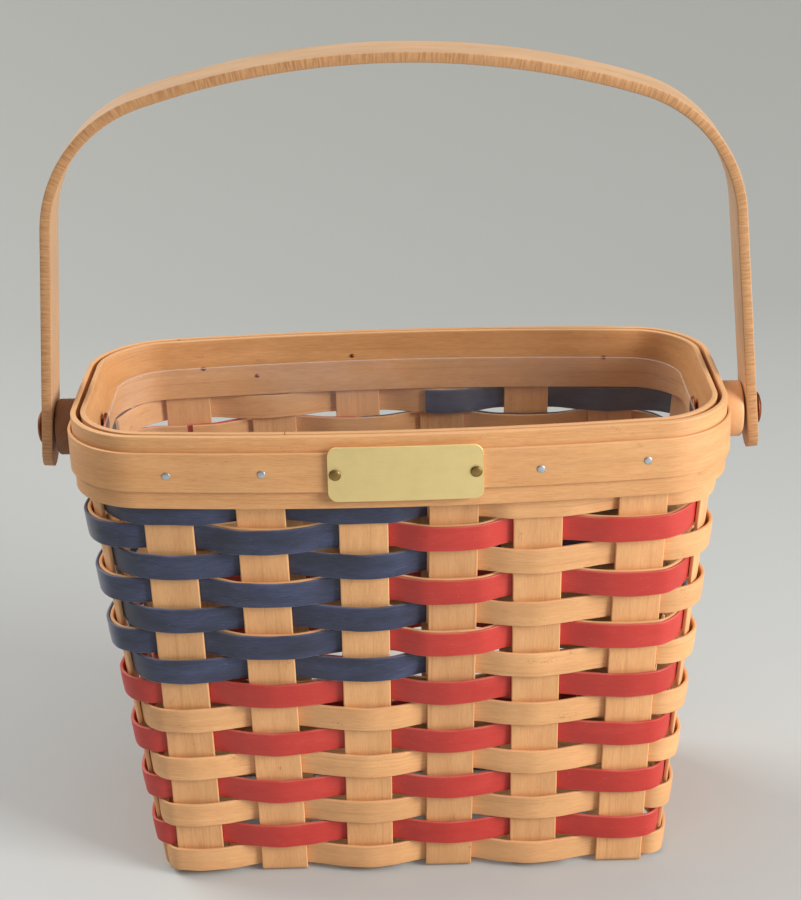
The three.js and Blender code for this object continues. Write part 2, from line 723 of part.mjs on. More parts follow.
const handleStations = handlePath.map(({ x, z, angle, half }) => {
  const out = new THREE.Vector3(Math.sin(angle), 0, Math.cos(angle));
  const across = [-1, 1].map((way) => new THREE.Vector3(x, way * half, z));
  return {
    inner: across.map((p) => p.clone().addScaledVector(out, -HANDLE_THICK / 2)),
    outer: across.map((p) => p.clone().addScaledVector(out, HANDLE_THICK / 2)),
  };
});
drill(strip("handle", handleWood, handleStations), [rivetHole(-1), rivetHole(1)]);

for (const way of [-1, 1]) {
  const place = way < 0 ? "left" : "right";
  const pivot = new THREE.Vector3(0, 0, PIVOT_Z);
  const axis = new THREE.Vector3(way, 0, 0);
  const spacerProfile = [
    [spacerIn, 0],
    [spacerIn, SPACER_RADIUS],
    [spacerOut, SPACER_RADIUS],
    [spacerOut, 0],
  ];
  drill(turned("spacer_" + place, rimWood, spacerProfile, pivot, axis, 32), [rivetHole(way)]);
  const rivetProfile = [
    [innerHeadX - RIVET_INNER_THICK, 0],
    [innerHeadX - RIVET_INNER_THICK, RIVET_INNER_HEAD * 0.7],
    [innerHeadX - RIVET_INNER_THICK * 0.6, RIVET_INNER_HEAD],
    [innerHeadX, RIVET_INNER_HEAD],
    [innerHeadX, RIVET_SHAFT],
    [outerHeadX, RIVET_SHAFT],
    [outerHeadX, RIVET_HEAD],
    [outerHeadX + RIVET_HEAD_THICK * 0.35, RIVET_HEAD],
    [outerHeadX + RIVET_HEAD_THICK * 0.8, RIVET_HEAD * 0.7],
    [outerHeadX + RIVET_HEAD_THICK, 0],
  ];
  turned("rivet_" + place, copper, rivetProfile, pivot, axis, 24);
}

// The liner stands inside on the base; rings run up its outside, over its edge and down inside.
function linerRing(z, inset) {
  const t = z / RIM_Z;
  const o = outlineOf(
    mix(BASE_HALF_LENGTH, RIM_HALF_LENGTH, t) - inset,
    BASE_HALF_DEPTH + DEPTH_FLARE * t - inset,
    mix(LINER_BASE_CORNER, LINER_RIM_CORNER, t) - (inset - LINER_INSET),
    RIM_BOW * t,
  );
  const arc = (o.corner * Math.PI) / 2;
  const stops = [0, o.flat / 2, o.flat];
  for (let k = 1; k <= 5; k++) stops.push(o.flat + (arc * k) / 5);
  const front = stops.map((u) => quarterPoint(u, o));
  const half = [...front, ...front.slice(1).reverse().map(([x, y]) => [x, -y])];
  const other = half.map(([x, y]) => [-x, -y]);
  return [...half, ...other].map(([x, y]) => new THREE.Vector3(x, y, z));
}
ringed(
  "liner",
  clear,
  [
    linerRing(LINER_BOTTOM_Z, LINER_INSET + LINER_FOOT),
    linerRing(LINER_BOTTOM_Z + LINER_FOOT, LINER_INSET),
    linerRing(LINER_TOP_Z, LINER_INSET),
    linerRing(LINER_TOP_Z, LINER_INSET + LINER_WALL),
    linerRing(LINER_BOTTOM_Z + LINER_FOOT + LINER_WALL / 2, LINER_INSET + LINER_WALL),
    linerRing(LINER_BOTTOM_Z + LINER_WALL, LINER_INSET + LINER_FOOT + LINER_WALL),
  ],
  new THREE.Vector3(0, 0, LINER_BOTTOM_Z),
  new THREE.Vector3(0, 0, LINER_BOTTOM_Z + LINER_WALL),
);

basket.updateMatrixWorld(true);
export default basket;
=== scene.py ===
"""A woven splint basket with a bent rim, a swinging handle and a clear liner, on its fixed frame.

Metres throughout: X runs along the basket, the front faces -Y, and the floor is at Z 0. Places on
the wall are given by side (0 front, 1 right, 2 back, 3 left), by the distance along from the
middle of that side, counter-clockwise seen from above, and by height.
"""

import itertools
import math

import bpy
import numpy as np
from bpy.props import (
    FloatProperty,
    FloatVectorProperty,
    IntProperty,
    PointerProperty,
)
from mathutils import Matrix, Vector


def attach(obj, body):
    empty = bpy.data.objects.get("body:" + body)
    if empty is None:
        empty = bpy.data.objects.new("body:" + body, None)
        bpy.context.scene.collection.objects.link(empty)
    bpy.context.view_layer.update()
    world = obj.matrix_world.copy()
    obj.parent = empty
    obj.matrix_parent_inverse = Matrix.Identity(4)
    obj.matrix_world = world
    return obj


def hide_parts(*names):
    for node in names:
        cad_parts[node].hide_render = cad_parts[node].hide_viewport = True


bl_info = {
    "name": "Splint Basket",
    "version": (1, 0, 0),
    "blender": (4, 5, 0),
    "location": "3D View > Sidebar > Basket",
    "description": "Weaves a small splint basket strip by strip and dresses its rim and handle",
    "category": "Add Mesh",
}

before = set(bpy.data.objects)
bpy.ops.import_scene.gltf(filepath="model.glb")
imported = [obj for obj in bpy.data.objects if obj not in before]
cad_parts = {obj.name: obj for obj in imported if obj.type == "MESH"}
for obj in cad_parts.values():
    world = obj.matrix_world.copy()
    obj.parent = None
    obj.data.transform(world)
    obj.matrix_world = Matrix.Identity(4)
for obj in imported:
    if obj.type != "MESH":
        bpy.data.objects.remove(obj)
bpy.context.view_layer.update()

# Stakes are numbered round the basket from the front's left: six at the front, three at the
# right end, six at the back and three at the left end. These are the first of each side.
LONGS, CROSSES = 6, 3
RIGHT, BACK, LEFT, ALL = 6, 9, 15, 18
MIDDLE_LONG = 2.5

# Rows that are one colour all round; the dyed field and stripes lie above them.
PLAIN_ROWS = 8

# How far a weaver's edge and crown stand off the wall in the rows of two layers.
PAIR_OUTSIDE = (0.00155, 0.0021)
PAIR_INSIDE = (-0.00275, -0.0032)

# Where a weaver's spans end on its way round a corner of the basket, as shares of that way.
CORNER_STOPS = (0, 0.22, 0.5, 0.78, 1)

# A knot nearer than this to a weaver's end is left out, in half widths of a stake.
KNOT_MARGIN = 0.2

# Length of a weaver between rings, the shortest span that gets any, the two wavelengths at which
# a hand-laid one strays, and how much it widens and narrows as a share of how far it strays.
WEAVER_STEP, SHORTEST_SPAN = 0.0016, 1e-7
SLOW_STRAY, FINE_STRAY, WIDTH_STRAY = 0.075, 0.021, 0.45

# A spliced weaver starts this far before its first stake and ends this far short of the far edge
# of its last, and a butted one stops this far from the middle of both.
SPLICE_BEFORE, SPLICE_SHORT, BUTT_SHORT = 0.0005, 0.002, 0.001

# A stake comes straight down to the first height, passes the next two, and bends in these turns.
STRAIGHT_TO, FOOT_HEIGHTS = 0.012, (0.009, 0.006)
BEND_DEGREES = (82, 66, 50, 34, 18, 4)

# Places of the nails along the rim, from the middle of each side, how unevenly high they stand,
# and the heights at which their tips come through inside the back.
NAILS_FRONT = (-0.0738, -0.0436, 0.0443, 0.0782)
NAILS_BACK = (-0.0741, 0.0166, 0.0511, 0.0702)
NAIL_UNEVEN = (-0.0003, 0.0004)
NAIL_TIP_HEIGHTS = (0.158, 0.160, 0.154, 0.1577)

# Shapes of turned heads, from the pole outwards: height and radius at each step. Those of the
# nails have their heights in metres, and all the rest are shares of the head's own sizes.
NAIL_HEAD = (
    (-0.0004, 0),
    (-0.0004, 0.9),
    (0, 1),
    (0.00014, 0.97),
    (0.00026, 0.8),
    (0.00033, 0.45),
    (0.00035, 0),
)
NAIL_TIP = ((-0.0003, 0), (-0.0003, 1), (0.0002, 1), (0.0005, 0.6), (0.0006, 0))
NAIL_TIP_RADIUS = 0.55
PIN_HEAD = ((0.15, 1), (0.4, 0.96), (0.75, 0.72), (0.95, 0.35), (1, 0))
PIN_GAP, PIN_FOOT = 0.00002, 0.9
RIVET_INNER = ((1, 0), (1, 0.4), (0.85, 0.7), (0.6, 0.93), (0.3, 1), (0, 0.98))
RIVET_OUTER = ((0, 0.97), (0.12, 1), (0.3, 0.98), (0.6, 0.86), (0.82, 0.66), (0.96, 0.36), (1, 0))

# Turn round the handle's rounded tail at which its first, narrow ring stands.
TAIL_FIRST_TURN = 0.12

# How a spacer's edge is eased: in from its face, and in from its radius.
SPACER_EDGE = ((0, 0.0006), (0.0003, 0.0002), (0.0008, 0))

# The trim band's seam lies this far past the plate's middle, behind the plate.
SEAM_PAST_PLATE = 0.0002
BAND_STATIONS, LAP_STATIONS, LAPPED_STATIONS = 300, 70, 230

# The liner's lip: how much its edge is eased, and where the easing starts.
LIP_EASE, LIP_START = 0.0001, 0.0004

# Eased edges, in metres.
STAKE_EDGE, WEAVER_EDGE, PLATE_EDGE, HANDLE_EDGE = 0.00028, 0.00022, 0.00018, 0.00035
WEAVER_CROWN = 0.0001

# Where a strip's face has its outermost points, as a share of its flat half width, and where a
# turned piece's edge begins, as a share of its radius.
FACE_INSET, EDGE_FROM = 0.97, 0.9

WOOD_IOR = 1.5
SHEET_IOR = 1.49

# The camera that took the photo, as solved from it: degrees, metres and picture heights.
YAW, PITCH, ROLL = -0.294, 23.067, -1.694
CAMERA_PLACE = (0.00323, -0.61806, 0.40511)
FOCAL_PIXELS, PICTURE_PIXELS, SENSOR = 1961.26, 900, 36

# The studio: where the floor starts to bend up, the bend's radius, how far the paper reaches,
# the room's light, and each lamp's place, size and power.
SWEEP_BEND, SWEEP_RADIUS, SWEEP_REACH = 0.55, 0.5, 3.0
ROOM_COLOUR, ROOM_STRENGTH = "f2f3f5", 0.27
LAMP_TARGET = (0, 0, 0.12)
LAMPS = {
    "key_softbox": ((1.15, -0.6, 0.6), 0.6, 20.0),
    "rear_softbox": ((-1.0, 0.55, 1.1), 0.8, 14.0),
    "top_softbox": ((0.1, -0.2, 1.5), 1.2, 5.5),
}


def linear(hex_colour):
    """An sRGB hex colour as linear red, green, blue and full alpha."""
    values = []
    for start in (0, 2, 4):
        c = int(hex_colour[start : start + 2], 16) / 255
        values.append(c / 12.92 if c <= 0.04045 else ((c + 0.055) / 1.055) ** 2.4)
    return (*values, 1.0)


def distance(name, description, default):
    """A length in metres that a user may change."""
    return FloatProperty(
        name=name, description=description, default=default, unit="LENGTH", precision=5
    )


def colour(name, description, hex_colour):
    """A colour that a user may change."""
    return FloatVectorProperty(
        name=name,
        description=description,
        default=linear(hex_colour),
        subtype="COLOR",
        size=4,
        min=0,
        max=1,
    )


class BasketWallSizes(bpy.types.PropertyGroup):
    """The flared wall, measured on the middle of the stakes."""

    rim_height: distance("Rim Height", "Top edge of the rim bands above the floor", 0.1683)
    base_half_length: distance("Base Half Length", "Half the length at the floor", 0.0858)
    rim_half_length: distance("Rim Half Length", "Half the length at the rim", 0.1056)
    base_half_depth: distance("Base Half Depth", "Half the depth at the floor", 0.0408)
    depth_flare: distance("Depth Flare", "How much deeper each long side is at the rim", 0.0004)
    rim_bow: distance("Rim Bow", "How far the long sides belly out at the rim", 0.0075)
    base_corner: distance("Base Corner", "Corner radius at the floor", 0.005)
    rim_corner: distance("Rim Corner", "Corner radius at the rim", 0.0215)


class BasketSplintSizes(bpy.types.PropertyGroup):
    """The stakes and the weavers."""

    stake_width: distance("Stake Width", "Width of a stake", 0.0159)
    stake_thick: distance("Stake Thickness", "Thickness of a stake", 0.0014)
    long_top: distance("Long Top", "Height of the long splints' ends inside the rim", 0.155)
    cross_top: distance("Cross Top", "Height of the cross splints' ends there", 0.1585)
    base_end_margin: distance(
        "Base End Margin", "From the outer long stake's edge to the base's end", 0.00505
    )
    base_side_margin: distance(
        "Base Side Margin", "From the outer cross stake's edge to the base's side", 0.0048
    )
    rim_end_margin: distance(
        "Rim End Margin", "From the outer long stake's edge to the end, near the rim", 0.0177
    )
    rim_step_height: distance("Rim Step Height", "Height at which that margin holds", 0.140)
    front_drift: FloatVectorProperty(
        name="Front Drift",
        description="How far each front stake has slid sideways near the rim",
        default=(0.0013, 0.0008, 0.0031, 0.0015, -0.002, 0.0013),
        size=6,
        unit="LENGTH",
    )
    base_drift: FloatVectorProperty(
        name="Base Drift",
        description="How far each long splint has slid sideways on the floor",
        default=(-0.0006, -0.0008, 0.0, -0.0018, -0.0015, -0.0006),
        size=6,
        unit="LENGTH",
    )
    weaver_width: distance("Weaver Width", "Width of a weaver", 0.0088)
    weaver_thick: distance("Weaver Thickness", "Thickness of a weaver", 0.0011)
    overlay_thick: distance("Overlay Thickness", "Thickness of a dyed outer strip", 0.0009)
    overlay_step: distance("Overlay Step", "From the middle of a weaver to its overlay's", 0.0013)
    rows: IntProperty(name="Rows", description="Rows of weaving", default=15, min=2)
    bottom_row: distance("Bottom Row", "Height of the middle of the first row", 0.0068)
    top_row: distance("Top Row", "Height of the middle of the last row", 0.1419)
    row_sag: distance("Row Sag", "How much lower the middle rows lie than even rows", 0.00122)
    edge_off: distance("Edge Reach", "Weaver off the wall at a stake's edge", 0.0016)
    crown_off: distance("Crown Reach", "Weaver off the wall over a stake's middle", 0.0025)
    second_off: distance("Second Layer", "Extra reach of a piece's hidden end", 0.0015)
    waver: distance("Waver", "How far a hand-laid weaver strays up and down", 0.00018)
    base_middle: distance("Base Middle", "Middle height of the base weave", 0.00155)
    base_wave: distance("Base Wave", "How far the base splints rise and fall", 0.00085)
    bend_radius: distance("Bend Radius", "Bend of a stake from the base to the wall", 0.002)


class BasketRimSizes(bpy.types.PropertyGroup):
    """The three bent bands of the rim and the nails through them."""

    inner_off: distance("Inner Band", "Inside of the inner band off the wall", -0.003)
    band_thick: distance("Band Thickness", "Thickness of the inner and outer bands", 0.0018)
    outer_low: distance("Outer Band Low", "Outer band off the wall at its lower edge", 0.00275)
    outer_top: distance("Outer Band Top", "Outer band off the wall at its upper edge", -0.0006)
    outer_top_end: distance("Outer Band End", "The same at the two ends of the basket", 0.0004)
    trim_thick: distance("Trim Thickness", "Thickness of the narrow outer band", 0.00105)
    inner_bottom: distance("Inner Bottom", "Lower edge of the inner band", 0.1467)
    outer_bottom: distance("Outer Bottom", "Lower edge of the outer band", 0.1445)
    trim_bottom: distance("Trim Bottom", "Lower edge of the narrow band", 0.1506)
    trim_top: distance("Trim Top", "Upper edge of the narrow band", 0.1634)
    gap: distance("Gap", "Play between neighbouring pieces", 0.0003)
    inner_seam: distance("Inner Seam", "Where the inner band's ends meet, on the front", -0.036)
    seam_gap: distance("Seam Gap", "Opening of a butted seam", 0.0004)
    lap_half: distance("Lap Half", "Half the length of the outer band's lap on the back", 0.078)
    lap_thin: distance("Lap Thin", "Thickness of the outer band's feathered tip", 0.0005)
    lap_thick: distance("Lap Thick", "Thickness of each layer at the foot of the lap", 0.001)
    lap_ramp: distance("Lap Ramp", "Length over which the lap's foot thickens", 0.003)
    edge_round: distance("Edge Round", "Radius of the bands' eased edges", 0.00028)
    nail_radius: distance("Nail Radius", "Radius of a nail's head", 0.00135)
    nail_height: distance("Nail Height", "Height of the row of nails", 0.1563)


class BasketHandleSizes(bpy.types.PropertyGroup):
    """The bent handle, its rivets and its spacers."""

    pivot_height: distance("Pivot Height", "Height of the two rivets", 0.154)
    width: distance("Width", "Width of the handle", 0.0175)
    thick: distance("Thickness", "Thickness of the handle", 0.0035)
    top: distance("Top", "Height of the middle of the crown", 0.2784)
    crown_radius: distance("Crown Radius", "Bend of the long crown", 0.262)
    shoulder_radius: distance("Shoulder Radius", "Bend of the two shoulders", 0.047)
    arm_angle: FloatProperty(
        name="Arm Angle",
        description="Turn from the crown's top to the straight arms",
        default=math.radians(85),
        subtype="ANGLE",
    )
    tail: distance("Tail", "From the rivets down to the arms' rounded ends", 0.0135)
    rivet_shaft: distance("Rivet Shaft", "Radius of the rivet's shaft", 0.0023)
    rivet_head: distance("Rivet Head", "Radius of the outer head", 0.0055)
    rivet_head_thick: distance("Rivet Head Height", "Height of the outer head", 0.0016)
    inner_head: distance("Inner Head", "Radius of the inner head", 0.0045)
    inner_head_thick: distance("Inner Head Height", "Height of the inner head", 0.0012)
    spacer_radius: distance("Spacer Radius", "Radius of the wooden spacers", 0.0095)
    spacer_thick: distance("Spacer Thickness", "Thickness of the wooden spacers", 0.0064)


class BasketPlateSizes(bpy.types.PropertyGroup):
    """The bare brass plate and its two pins."""

    place: distance("Place", "Middle of the plate along the front", 0.00175)
    height: distance("Height", "Middle of the plate above the floor", 0.1567)
    length: distance("Length", "Length of the plate", 0.0489)
    breadth: distance("Breadth", "Height of the plate's face", 0.0178)
    thick: distance("Thickness", "Thickness of the plate", 0.0008)
    corner: distance("Corner", "Radius of its corners", 0.003)
    pin_inset: distance("Pin Inset", "From a pin to the plate's end", 0.0023)
    pin_head: distance("Pin Head", "Radius of a pin's head", 0.0019)
    pin_shaft: distance("Pin Shaft", "Radius of a pin's shaft", 0.001)
    pin_height: distance("Pin Height", "Height of a pin's head", 0.0007)


class BasketLinerSizes(bpy.types.PropertyGroup):
    """The clear moulded liner."""

    inset: distance("Inset", "From the middle of the wall to the liner's outside", 0.006)
    wall: distance("Wall", "Thickness of the sheet", 0.0008)
    bottom: distance("Bottom", "Underside above the floor", 0.0038)
    top: distance("Top", "Upper edge above the floor", 0.1596)
    base_corner: distance("Base Corner", "Corner radius at the bottom", 0.008)
    rim_corner: distance("Rim Corner", "Corner radius at the rim's height", 0.0165)
    foot: distance("Foot", "Round between the wall and the bottom", 0.002)


class BasketColours(bpy.types.PropertyGroup):
    """Colours of the finishes."""

    splint_light: colour("Splint Light", "Lightest grain of the plain splints", "f0b87e")
    splint_dark: colour("Splint Dark", "Darkest grain of the plain splints", "dfa068")
    blue: colour("Blue Dye", "Body of the blue dye", "26293a")
    blue_worn: colour("Blue Worn", "Where the blue dye took less", "59648e")
    red: colour("Red Dye", "Body of the red dye", "c3342b")
    red_worn: colour("Red Worn", "Where the red dye took less", "dd5347")
    band_light: colour("Band Light", "Lightest grain of the rim bands", "e8af76")
    band_dark: colour("Band Dark", "Darkest grain of the rim bands", "d2935b")
    handle_light: colour("Handle Light", "Lightest grain of the handle", "d9b28a")
    handle_dark: colour("Handle Dark", "Darkest grain of the handle", "c69a70")
    # The left spacer's colours are painted shade: the same maple as the right spacer, darkened for
    # the shade it sits in between the handle arm and the rim.
    left_spacer_shade_light: colour("Spacer Light", "Lightest grain of the left spacer", "a06c42")
    left_spacer_shade_dark: colour("Spacer Dark", "Darkest grain of the left spacer", "80502c")
    brass: colour("Brass", "Body of the plate", "fde6a6")
    pin: colour("Pin", "Body of the plate's pins", "b09056")
    copper: colour("Copper", "Body of the rivets", "a8603c")
    steel: colour("Steel", "Body of the nails", "d3d7da")
    floor: colour("Floor", "Studio floor", "c5c6c3")
    # The backdrop colour, darker than the floor's, is painted shade for the light falling off
    # towards the back of the sweep.
    backdrop: colour("Backdrop", "Studio backdrop", "a4a49f")


GROUPS = {
    "basket_wall": BasketWallSizes,
    "basket_splints": BasketSplintSizes,
    "basket_rim": BasketRimSizes,
    "basket_handle": BasketHandleSizes,
    "basket_plate": BasketPlateSizes,
    "basket_liner": BasketLinerSizes,
    "basket_colours": BasketColours,
}


def mix(a, b, t):
    """The value t of the way from a to b."""
    return a + (b - a) * t


def smooth_through(at, values, where):
    """A smooth curve through the given values that never overshoots them."""
    at, values = np.asarray(at, float), np.asarray(values, float)
    step = np.diff(at)
    slope = np.diff(values) / step
    ends = np.zeros(len(at))
    rising = slope[:-1] * slope[1:] > 0
    safe = np.where(rising, slope[:-1] * slope[1:], 1.0)
    total = np.where(rising, slope[:-1] + slope[1:], 1.0)
    ends[1:-1] = np.where(rising, 2 * safe / total, 0.0)
    k = np.clip(np.searchsorted(at, where, side="right") - 1, 0, len(step) - 1)
    t = (where - at[k]) / step[k]
    low, high = values[k], values[k + 1]
    out, into = ends[k] * step[k], ends[k + 1] * step[k]
    cube = 2 * (low - high) + out + into
    square = 3 * (high - low) - 2 * out - into
    return ((cube * t + square) * t + out) * t + low


def ripple(along, seed, wave):
    """A slow seeded wander between about -1 and 1, with the given wavelength."""
    chance = np.random.default_rng(seed)
    total = np.zeros_like(along)
    for k in range(3):
        turn = chance.uniform(0, 2 * math.pi)
        total += np.sin(2 * math.pi * along / (wave * (0.6 + 0.45 * k)) + turn)
    return total / 2


class Wall:
    """The flared, bowed wall on which every strip is laid."""

    def __init__(self, scene):
        self.size = scene.basket_wall
        self.splints = scene.basket_splints

    def outline(self, z):
        """Half length, half depth, corner radius, flat, quarter length and bow at height z."""
        s = self.size
        t = z / s.rim_height
        length = mix(s.base_half_length, s.rim_half_length, t)
        depth = s.base_half_depth + s.depth_flare * t
        corner = mix(s.base_corner, s.rim_corner, t)
        flat = length - corner
        quarter = flat + corner * math.pi / 2 + depth - corner
        return length, depth, corner, flat, quarter, s.rim_bow * t

    def point(self, side, along, z):
        """Points of the wall; the three arrays have one shape."""
        side, along, z = np.broadcast_arrays(side, along, np.asarray(z, float))
        outline = self.outline(z)
        ends = side % 2 == 1
        turn = np.where(side >= 2, -1.0, 1.0)
        way = np.where(along < 0, -1.0, 1.0)
        from_middle = np.where(ends, outline[4] - np.abs(along), np.abs(along))
        x, y = quarter_point(from_middle, outline)
        px = np.where(ends, turn * x, turn * way * x)
        py = np.where(ends, -turn * way * y, turn * y)
        return np.stack([px, py, z], -1)

    def normal(self, side, along, z):
        """Unit vectors out of the wall."""
        h, v = 0.00005, 0.0005
        run = self.point(side, along + h, z) - self.point(side, along - h, z)
        rise = self.point(side, along, z + v) - self.point(side, along, z - v)
        out = np.cross(run, rise)
        return out / np.linalg.norm(out, axis=-1, keepdims=True)

    def off(self, side, along, z, reach):
        """Points that stand off the wall by reach."""
        reach = np.asarray(reach, float)[..., None]
        return self.point(side, along, z) + self.normal(side, along, z) * reach

    def rim_point(self, place, z, reach):
        """The same for a place counted in quarters round the rim from the middle of the front."""
        middle = 2 * np.round(place / 2)
        side = np.where(middle % 4 == 0, 0, 2)
        return self.off(side, (place - middle) * self.outline(z)[4], z, reach)

    def stake(self, number):
        """Side of a stake, and its place along at the floor and the change of that with height."""
        number = number % ALL
        s = self.splints
        base = self.size.base_half_length - s.stake_width / 2 - s.base_end_margin
        rim_length = self.outline(s.rim_step_height)[0]
        rim = rim_length - s.stake_width / 2 - s.rim_end_margin
        across = self.size.base_half_depth - s.stake_width / 2 - s.base_side_margin
        if RIGHT <= number < BACK or number >= LEFT:
            side, first = (1, RIGHT) if number < BACK else (3, LEFT)
            return side, across * (number - first - 1), 0.0
        side, nth = (0, number) if number < RIGHT else (2, number - BACK)
        foot = s.base_drift[nth] if side == 0 else -s.base_drift[LONGS - 1 - nth]
        head = s.front_drift[nth] if side == 0 else 0.0
        place = (nth - MIDDLE_LONG) / MIDDLE_LONG
        foot, head = base * place + foot, rim * place + head
        return side, foot, (head - foot) / s.rim_step_height


def quarter_point(along, outline):
    """A point of the front right quarter of an outline, along from the middle of the front."""
    length, depth, corner, flat, quarter, bow = outline
    angle = np.clip((along - flat) / corner, 0, math.pi / 2)
    x = np.minimum(along, flat) + corner * np.sin(angle)
    y = -(depth + bow * (1 - (x / length) ** 2)) + corner * (1 - np.cos(angle))
    past = along - flat >= corner * math.pi / 2
    return np.where(past, length, x), np.where(past, along - quarter, y)


def section(width, thick, radius, spans=4, crown=0.0):
    """Outline of a strip cut across: across, out, whether it is the narrow edge, and its run."""
    half, deep = width / 2 - radius, thick / 2 - radius
    points = []
    for corner, (side, face) in enumerate([(1, -1), (1, 1), (-1, 1), (-1, -1)]):
        start = math.pi / 2 * (corner - 1)
        for k in range(3):
            angle = start + math.pi / 4 * k
            across = side * half + radius * math.cos(angle)
            out = face * deep + radius * math.sin(angle)
            points.append((across, out, 1.0 if k == (0 if corner % 2 else 2) else 0.5))
        if corner % 2:
            for k in range(spans + 1):
                across = side * half * (1 - 2 * k / spans)
                across *= FACE_INSET if k in (0, spans) else 1.0
                points.append((across, face * thick / 2, 0.0))
    across, out, edge = (np.array(column) for column in zip(*points))
    out = out + np.sign(out) * crown * (1 - (2 * across / width) ** 2) * (np.sign(out) > 0)
    steps = np.hypot(np.diff(across, append=across[0]), np.diff(out, append=out[0]))
    run = np.concatenate([[0.0], np.cumsum(steps)[:-1]])
    return across, out, edge, run


def add_mesh(name, points, faces, strip, edge, material):
    """A mesh object with a strip coordinate (along, across, seed) and an edge mark per point."""
    mesh = bpy.data.meshes.new(name)
    volume = 0.0
    for face in faces:
        corners = points[face]
        for k in range(1, face.shape[1] - 1):
            cross = np.cross(corners[:, k], corners[:, k + 1])
            volume += np.einsum("ij,ij->", corners[:, 0], cross)
    flipped = [face[:, ::-1] if volume < 0 else face for face in faces]
    mesh.from_pydata(points.tolist(), [], [f for face in flipped for f in face.tolist()])
    mesh.shade_smooth()
    mesh.attributes.new("strip", "FLOAT_VECTOR", "POINT").data.foreach_set(
        "vector", np.ascontiguousarray(strip, np.float32).ravel()
    )
    mesh.attributes.new("edge", "FLOAT", "POINT").data.foreach_set(
        "value", np.ascontiguousarray(edge, np.float32).ravel()
    )
    mesh.materials.append(material)
    piece = bpy.data.objects.new(name, mesh)
    bpy.context.scene.collection.objects.link(piece)
    return piece


def ring_faces(count, sides):
    """Faces that join matching rings of points, numbered ring after ring."""
    i, j = np.meshgrid(np.arange(count - 1) * sides, np.arange(sides), indexing="ij")
    n = (j + 1) % sides
    return np.stack([i + j, i + sides + j, i + sides + n, i + n], -1).reshape(-1, 4)


def pole_faces(count, sides):
    """Fans that close the first and last of the rings on two poles numbered after them."""
    j = np.arange(sides)
    n = (j + 1) % sides
    pole, top = count * sides, (count - 1) * sides
    low = np.stack([np.full(sides, pole), j, n], -1)
    return low, np.stack([np.full(sides, pole + 1), top + n, top + j], -1)


def add_strip(name, rings, along, run, edge, seed, material):
    """A strip from rings of points, closed at both cut ends."""
    stations, sides = rings.shape[:2]
    points = rings.reshape(-1, 3)
    strip = np.zeros((stations, sides, 3))
    strip[..., 0] = np.asarray(along)[:, None]
    strip[..., 1] = run
    strip[..., 2] = seed
    marks = np.tile(edge, (stations, 1))
    faces = [ring_faces(stations, sides)]
    total = len(points)
    parts, strips, edges = [points], [strip.reshape(-1, 3)], [marks.ravel()]
    for ring, first in ((0, True), (stations - 1, False)):
        centre = rings[ring].mean(0)
        parts += [rings[ring], centre[None]]
        strips += [strip[ring], strip[ring].mean(0)[None]]
        edges.append(np.ones(sides + 1))
        k = np.arange(sides)
        turn = (k + 1) % sides
        fan = [np.full(sides, total + sides), total + k, total + turn]
        if not first:
            fan = [fan[0], fan[2], fan[1]]
        faces.append(np.stack(fan, -1))
        total += sides + 1
    points, strip, marks = (np.concatenate(rows) for rows in (parts, strips, edges))
    return add_mesh(name, points, faces, strip, marks, material)


def add_turned(name, profile, origin, axis, material, sides=48, seed=0.0):
    """A round piece: the profile gives distance along the axis and radius, pole to pole."""
    axis = Vector(axis).normalized()
    first = (Vector((0, 0, 1)) - axis * axis.z).normalized()
    second = axis.cross(first)
    profile = np.array(profile, float)
    angle = 2 * math.pi * np.arange(sides) / sides
    spoke = np.outer(np.cos(angle), first) + np.outer(np.sin(angle), second)
    centre = np.array(origin) + profile[:, :1] * np.array(axis)
    rings = centre[:, None, :] + profile[:, 1:, None] * spoke[None]
    inner = rings[1:-1]
    count = len(inner)
    points = np.concatenate([inner.reshape(-1, 3), centre[:1], centre[-1:]])
    strip = np.zeros((len(points), 3))
    offset = points - np.array(origin)
    strip[:, 0] = offset @ np.array(second)
    strip[:, 1] = offset @ np.array(axis) + offset @ np.array(first)
    strip[:, 2] = seed
    reach = np.linalg.norm(np.cross(offset, np.array(axis)), axis=1)
    edge = (reach > EDGE_FROM * profile[:, 1].max()).astype(float)
    faces = [ring_faces(count, sides), *pole_faces(count, sides)]
    return add_mesh(name, points, faces, strip, edge, material)


def head_profile(base, height, radius, shape):
    """A head's profile for add_turned, from its shape's steps in height and radius."""
    return [(base + height * up, radius * out) for up, out in shape]


def finish_piece(piece, body, slot, *nodes):
    """Sets a piece on its body and puts it in place of its frame pieces."""
    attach(piece, body)
    if nodes:
        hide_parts(*nodes)
    return piece


def fill(tree, node, inputs):
    """Sets or links the inputs of a node that are named."""
    for key, value in inputs.items():
        if isinstance(value, bpy.types.NodeSocket):
            tree.links.new(value, node.inputs[key])
        else:
            node.inputs[key].default_value = value


def add(tree, kind, inputs=None, **settings):
    """Adds a node with its settings, and fills the inputs that are named."""
    node = tree.nodes.new(kind)
    for key, value in settings.items():
        setattr(node, key, value)
    fill(tree, node, inputs or {})
    return node


def new_material(name):
    """An empty material and its shader, or the finished one of that name."""
    if name in bpy.data.materials:
        return bpy.data.materials[name], None, None
    material = bpy.data.materials.new(name)
    material.use_nodes = True
    tree = material.node_tree
    tree.nodes.clear()
    shader = add(tree, "ShaderNodeBsdfPrincipled")
    add(tree, "ShaderNodeOutputMaterial", {"Surface": shader.outputs[0]})
    return material, tree, shader


def strip_noise(tree, long, short, seeds, detail=2.0):
    """Noise stretched along a strip: its spots are long by short metres, new for each strip."""
    stretch = {0: mark(tree, "strip")["Vector"], 1: (1 / long, 1 / short, seeds)}
    scaled = add(tree, "ShaderNodeVectorMath", stretch, operation="MULTIPLY").outputs[0]
    inputs = {"Vector": scaled, "Scale": 1.0, "Detail": detail, "Roughness": 0.6}
    return add(tree, "ShaderNodeTexNoise", inputs).outputs["Fac"]


